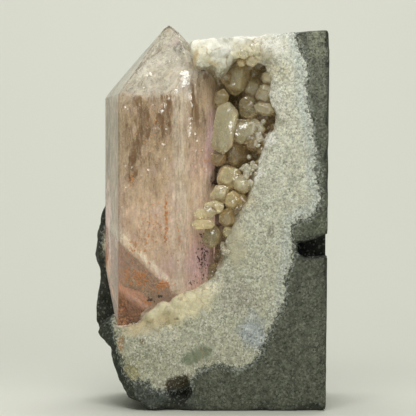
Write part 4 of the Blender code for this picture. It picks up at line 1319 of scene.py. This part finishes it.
def seam_share(points, own):
    """How near each point is to another crystal's rounded shaft: 1 where it touches, 0 from 0.8 mm on."""
    nearest = np.full(len(points), 9.0)
    for i, (middle, way, radius, half) in enumerate(zip(middles, ways, radii, halves)):
        way = unit(way)
        along = np.clip((points - middle) @ way, radius - half, half - radius)
        gap = np.linalg.norm(points - middle - np.multiply.outer(along, way), axis=-1) - radius
        nearest = np.where(own == i, nearest, np.minimum(nearest, gap))
    return soft_step(nearest, 0.8, 0.0)


# Brown where crystals touch: partly iron stain, partly painted shade between them.
seam = 0.75 * seam_share(seen_points, np.repeat(np.arange(len(measured)), each))
seen_tint = np.repeat(measured[:, 8:] * [1.08, 1.05, 0.94], each, axis=0)
seen_tint = mixed(seen_tint, [0.24, 0.155, 0.06], seam)
# Painted glow: the emission colour is the tint, times 2.4 from 36 to 46 mm up and 3 from 70 mm up.
light = np.interp(np.repeat(up, each), [33, 36, 46, 49, 68, 70], [1, 2.4, 2.4, 1, 1, 3])
seen_painted_glow = seen_tint * light[:, None]

# %% The small ones that cover the wall of the hollow
dice = np.random.default_rng(61)
x, y, z = rind_points.T
wall = np.flatnonzero((np.abs(pocket_field(x, y, z)) < 0.3) & (y > -13.2) & ((x > 2.4) | (z < 58)))
middles = rind_points[dice.choice(wall, 210, replace=False)]
count, inward = len(middles), middles[:, 1]
pull = np.array([4.5, -9.0, 52.0]) - middles
pull[:, 2] *= 0.35
ways = pull / np.linalg.norm(pull, axis=1, keepdims=True) + 0.35 * dice.normal(size=pull.shape)
radii = dice.uniform(0.6, 1.5, count) * np.interp(inward, [-13, -9], [0.7, 1.1])
halves = radii * dice.uniform(1.2, 1.7, count)
small_points, small_faces, each = rounded_crystals(middles, ways, radii, halves, 12, 16, 14.0, 62)
# Painted shade: crystals deeper in the hollow are darker, times a random tone.
painted_shade_and_tone = np.interp(inward, [-13, -5, 0], [1.0, 0.58, 0.40])[:, None] * dice.uniform(0.75, 1.25, (count, 1))
small_tint = np.repeat(np.array([0.60, 0.46, 0.23]) * painted_shade_and_tone, each, axis=0)

# %% Clean little points along the rim that catch the light
# Each row: middle across and up, spread across and up, how many
SPARKLES = table("""
8.8 54.2 1.4 1.4 26 | 7.2 48.2 1.3 1.3 34 | 5.8 45.6 1.2 1.2 14 | 2.4 32.2 0.8 0.8 10 | 9.4 57 1 1 8
""")
rows, across, up = scattered(SPARKLES, 0.5, dice)
radii = dice.uniform(0.2, 0.55, len(rows))
depth = np.interp(pocket_field(across, np.full(len(rows), -15.4), up), [-2.5, 0.2], [-12.2, -15.3])
middles = seen_at(across, up, depth)
ways = np.array([-0.2, -1.0, 0.5]) + 0.5 * dice.normal(size=middles.shape)
clean_points, clean_faces, each = rounded_crystals(middles, ways, radii, radii * 1.6, 10, 14, 24.0, 63)
clean_tint = np.tile([1.0, 0.94, 0.76], (len(clean_points), 1))

# %% One crust from all three kinds
first = len(seen_points)
all_faces = [seen_faces, small_faces + first, clean_faces + first + len(small_points)]
all_faces = [face[:3] if face[2] == face[3] else face for face in np.concatenate(all_faces).tolist()]
all_points = np.concatenate([seen_points, small_points, clean_points])
druse_piece = piece("pocket_crystals", all_points, all_faces, "druse_quartz", sharp=50)
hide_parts("pocket_druse")
store(druse_piece, "tint", np.concatenate([seen_tint, small_tint, clean_tint]))
# Painted glow for every crystal of the crust, as a faint emission.
store(druse_piece, "painted_glow", np.concatenate([seen_painted_glow, small_tint, clean_tint]))


# %% Cloudy quartz finish
def cloudy_quartz():
    """Half clear, half cloudy: stored colour with soft clouds and white patches, partly frost and partly
    painted highlight, a faint stored painted glow, and a smooth skin with dull patches and lines.
    """
    made, shader, place = blank_finish("cloudy quartz")
    clouds = noise(place, 1.5, 4.0, 0.6)
    put(shader, {
        "Base Color": layered(
            shaded(stored(place, "tint"), ramp(clouds, 0.25, 0.75, 0.80, 1.35)),
            (ramp(noise(place, 0.45, 3.0, 0.7), 0.56, 0.70, 0.0, 0.7), (0.27, 0.20, 0.09)),
            # White patches: partly frosted quartz, partly painted highlight.
            (ramp(noise(place, 0.9, 4.0, 0.7), 0.56, 0.64, 0.0, 0.75), (0.92, 0.90, 0.78)),
        ),
        # Painted glow: a faint emission of the stored colour.
        "Emission Color": stored(place, "painted_glow"),
        "Emission Strength": 0.03,
        "Roughness": ramp(noise(place, 0.8, 3.0), 0.4, 0.7, 0.08, 0.30),
        "Subsurface Weight": 0.35,
        "Subsurface Radius": (1.0, 0.85, 0.55),
        "Subsurface Scale": 1.2 * MM,
        "Transmission Weight": 0.75,
        "IOR": QUARTZ_IOR,
        "Coat Weight": 1.0,
        "Coat Roughness": 0.18,
        "Normal": bump(noise(place, 0.4, 2.0, 0.5, (6, 6, 1)) + clouds, 0.10, 0.5),
    })
    return made


druse_piece.data.materials.append(cloudy_quartz())

# %% White glints on the big ones, painted as glowing flakes on their skin
# Each row: middle across and up, spread across and up, how many, size
GLINTS = table("""
3.6 57 0.25 1.5 12 0.4 | 6.2 56.9 1.1 0.5 14 0.4 | 5 55.6 0.4 0.5 5 0.3 | 4.4 47.6 1 1 10 0.28
6.4 46.4 0.8 0.8 10 0.3 | 2.2 44.6 0.8 0.6 8 0.28 | 6.9 62.6 0.3 0.2 4 0.26 | 4.4 65.4 0.7 0.3 6 0.26
4.4 42.4 0.8 0.8 7 0.26 | -1.2 40.2 0.8 0.4 6 0.26 | 7.4 72.6 1.6 0.8 10 0.34 | -0.1 36 0.5 0.8 5 0.24
""")


def glints():
    """Painted highlights: flakes with the glowing glint finish, laid on the skin of the crystals, at each
    spot on the skin's nearest point to the eye.
    """
    dice = np.random.default_rng(71)
    rows, across, up = scattered(GLINTS, 0.6, dice)
    share = (FRONT - EYE[1]) / (seen_points[:, 1] - EYE[1])
    on_front = EYE + (seen_points - EYE) * share[:, None]
    near = np.hypot(on_front[:, 0] - across[:, None], on_front[:, 2] - up[:, None]) < 0.3
    depth = np.where(near, seen_points[:, 1], 9.0).min(axis=1)
    kept = depth < 5
    count = int(kept.sum())
    shape, faces = flake_shapes(count, dice)
    sizes = rows[kept, 5:6] * dice.uniform(0.4, 1.5, (count, 3)) * [1.0, 0.6, 0.5]
    normals = np.array([-0.1, -1.0, 0.3]) + 0.3 * dice.normal(size=(count, 3))
    middles = seen_at(across[kept], up[kept], depth[kept])
    points, faces = copies(shape, faces, turned(normals, dice), sizes, middles)
    return piece("painted_quartz_glints", points, faces, "druse_quartz")


glints().data.materials.append(glint_glow_finish)

# %% [markdown]
# ## Floor, light and camera
#
# The piece stands on a pale sweep: a floor that curves up behind it, so no line shows. One large soft light
# above and in front makes the tops bright and lets the low part fall off, as a lamp over a small piece
# does, and an even pale surround lights the glass from within.

# %% Sweep
def sweep():
    """A profile carried sideways: a flat floor, a quarter circle, then an upright wall. In metres."""
    radius, back, wide = 0.80, 0.30, 2.6
    turn = np.linspace(0, math.pi / 2, 24)
    depth = np.concatenate([[-1.6], back + radius * np.sin(turn), [back + radius]])
    height = np.concatenate([[0.0], radius * (1 - np.cos(turn)), [2.2]])
    across = np.linspace(-wide, wide, 3)
    points = np.stack(np.broadcast_arrays(across[:, None], depth, height), -1).reshape(-1, 3)
    tag = np.arange(len(points)).reshape(len(across), len(depth))
    faces = np.stack([tag[:-1, :-1], tag[1:, :-1], tag[1:, 1:], tag[:-1, 1:]], -1).reshape(-1, 4)
    mesh = new_mesh("sweep", points, faces)
    mesh.shade_smooth()
    return mesh


floor = placed("sweep", sweep())
paper, shader, place = blank_finish("backdrop paper")
put(shader, {"Base Color": (0.78, 0.79, 0.70), "Roughness": 0.9})
floor.data.materials.append(paper)

# %% Lights
world = bpy.data.worlds.new("surround")
world.use_nodes = True
put(world.node_tree.nodes["Background"], {"Color": (0.93, 0.95, 0.86), "Strength": 0.213})
bpy.context.scene.world = world


def soft_light(name, at, toward, size, power):
    """A square lamp at a point, turned to face another point."""
    lamp = bpy.data.lights.new(name, "AREA")
    lamp.size = size
    lamp.energy = power
    made = placed(name, lamp)
    made.location = at
    made.rotation_euler = (Vector(toward) - Vector(at)).to_track_quat("-Z", "Y").to_euler()


soft_light("top light", (-0.01, -0.10, 0.165), (0, 0, 0.045), 0.08, 0.102)
soft_light("side light", (0.26, -0.42, 0.20), (0, 0, 0.04), 0.20, 0.31)
soft_light("backdrop light", (0, 0.45, 0.95), (0, 0.55, 0), 0.9, 6.6)

# %% Camera: level, in front, at the height of the piece's middle
camera = placed("camera", bpy.data.cameras.new("camera"))
camera.data.lens = 129.8
camera.data.sensor_width = 36
camera.data.clip_start = 0.01
camera.location = (-0.07 * MM, -316 * MM, 40.6 * MM)
camera.rotation_euler = (math.pi / 2, 0, 0)
bpy.context.scene.camera = camera
bpy.context.scene.view_settings.view_transform = "Standard"
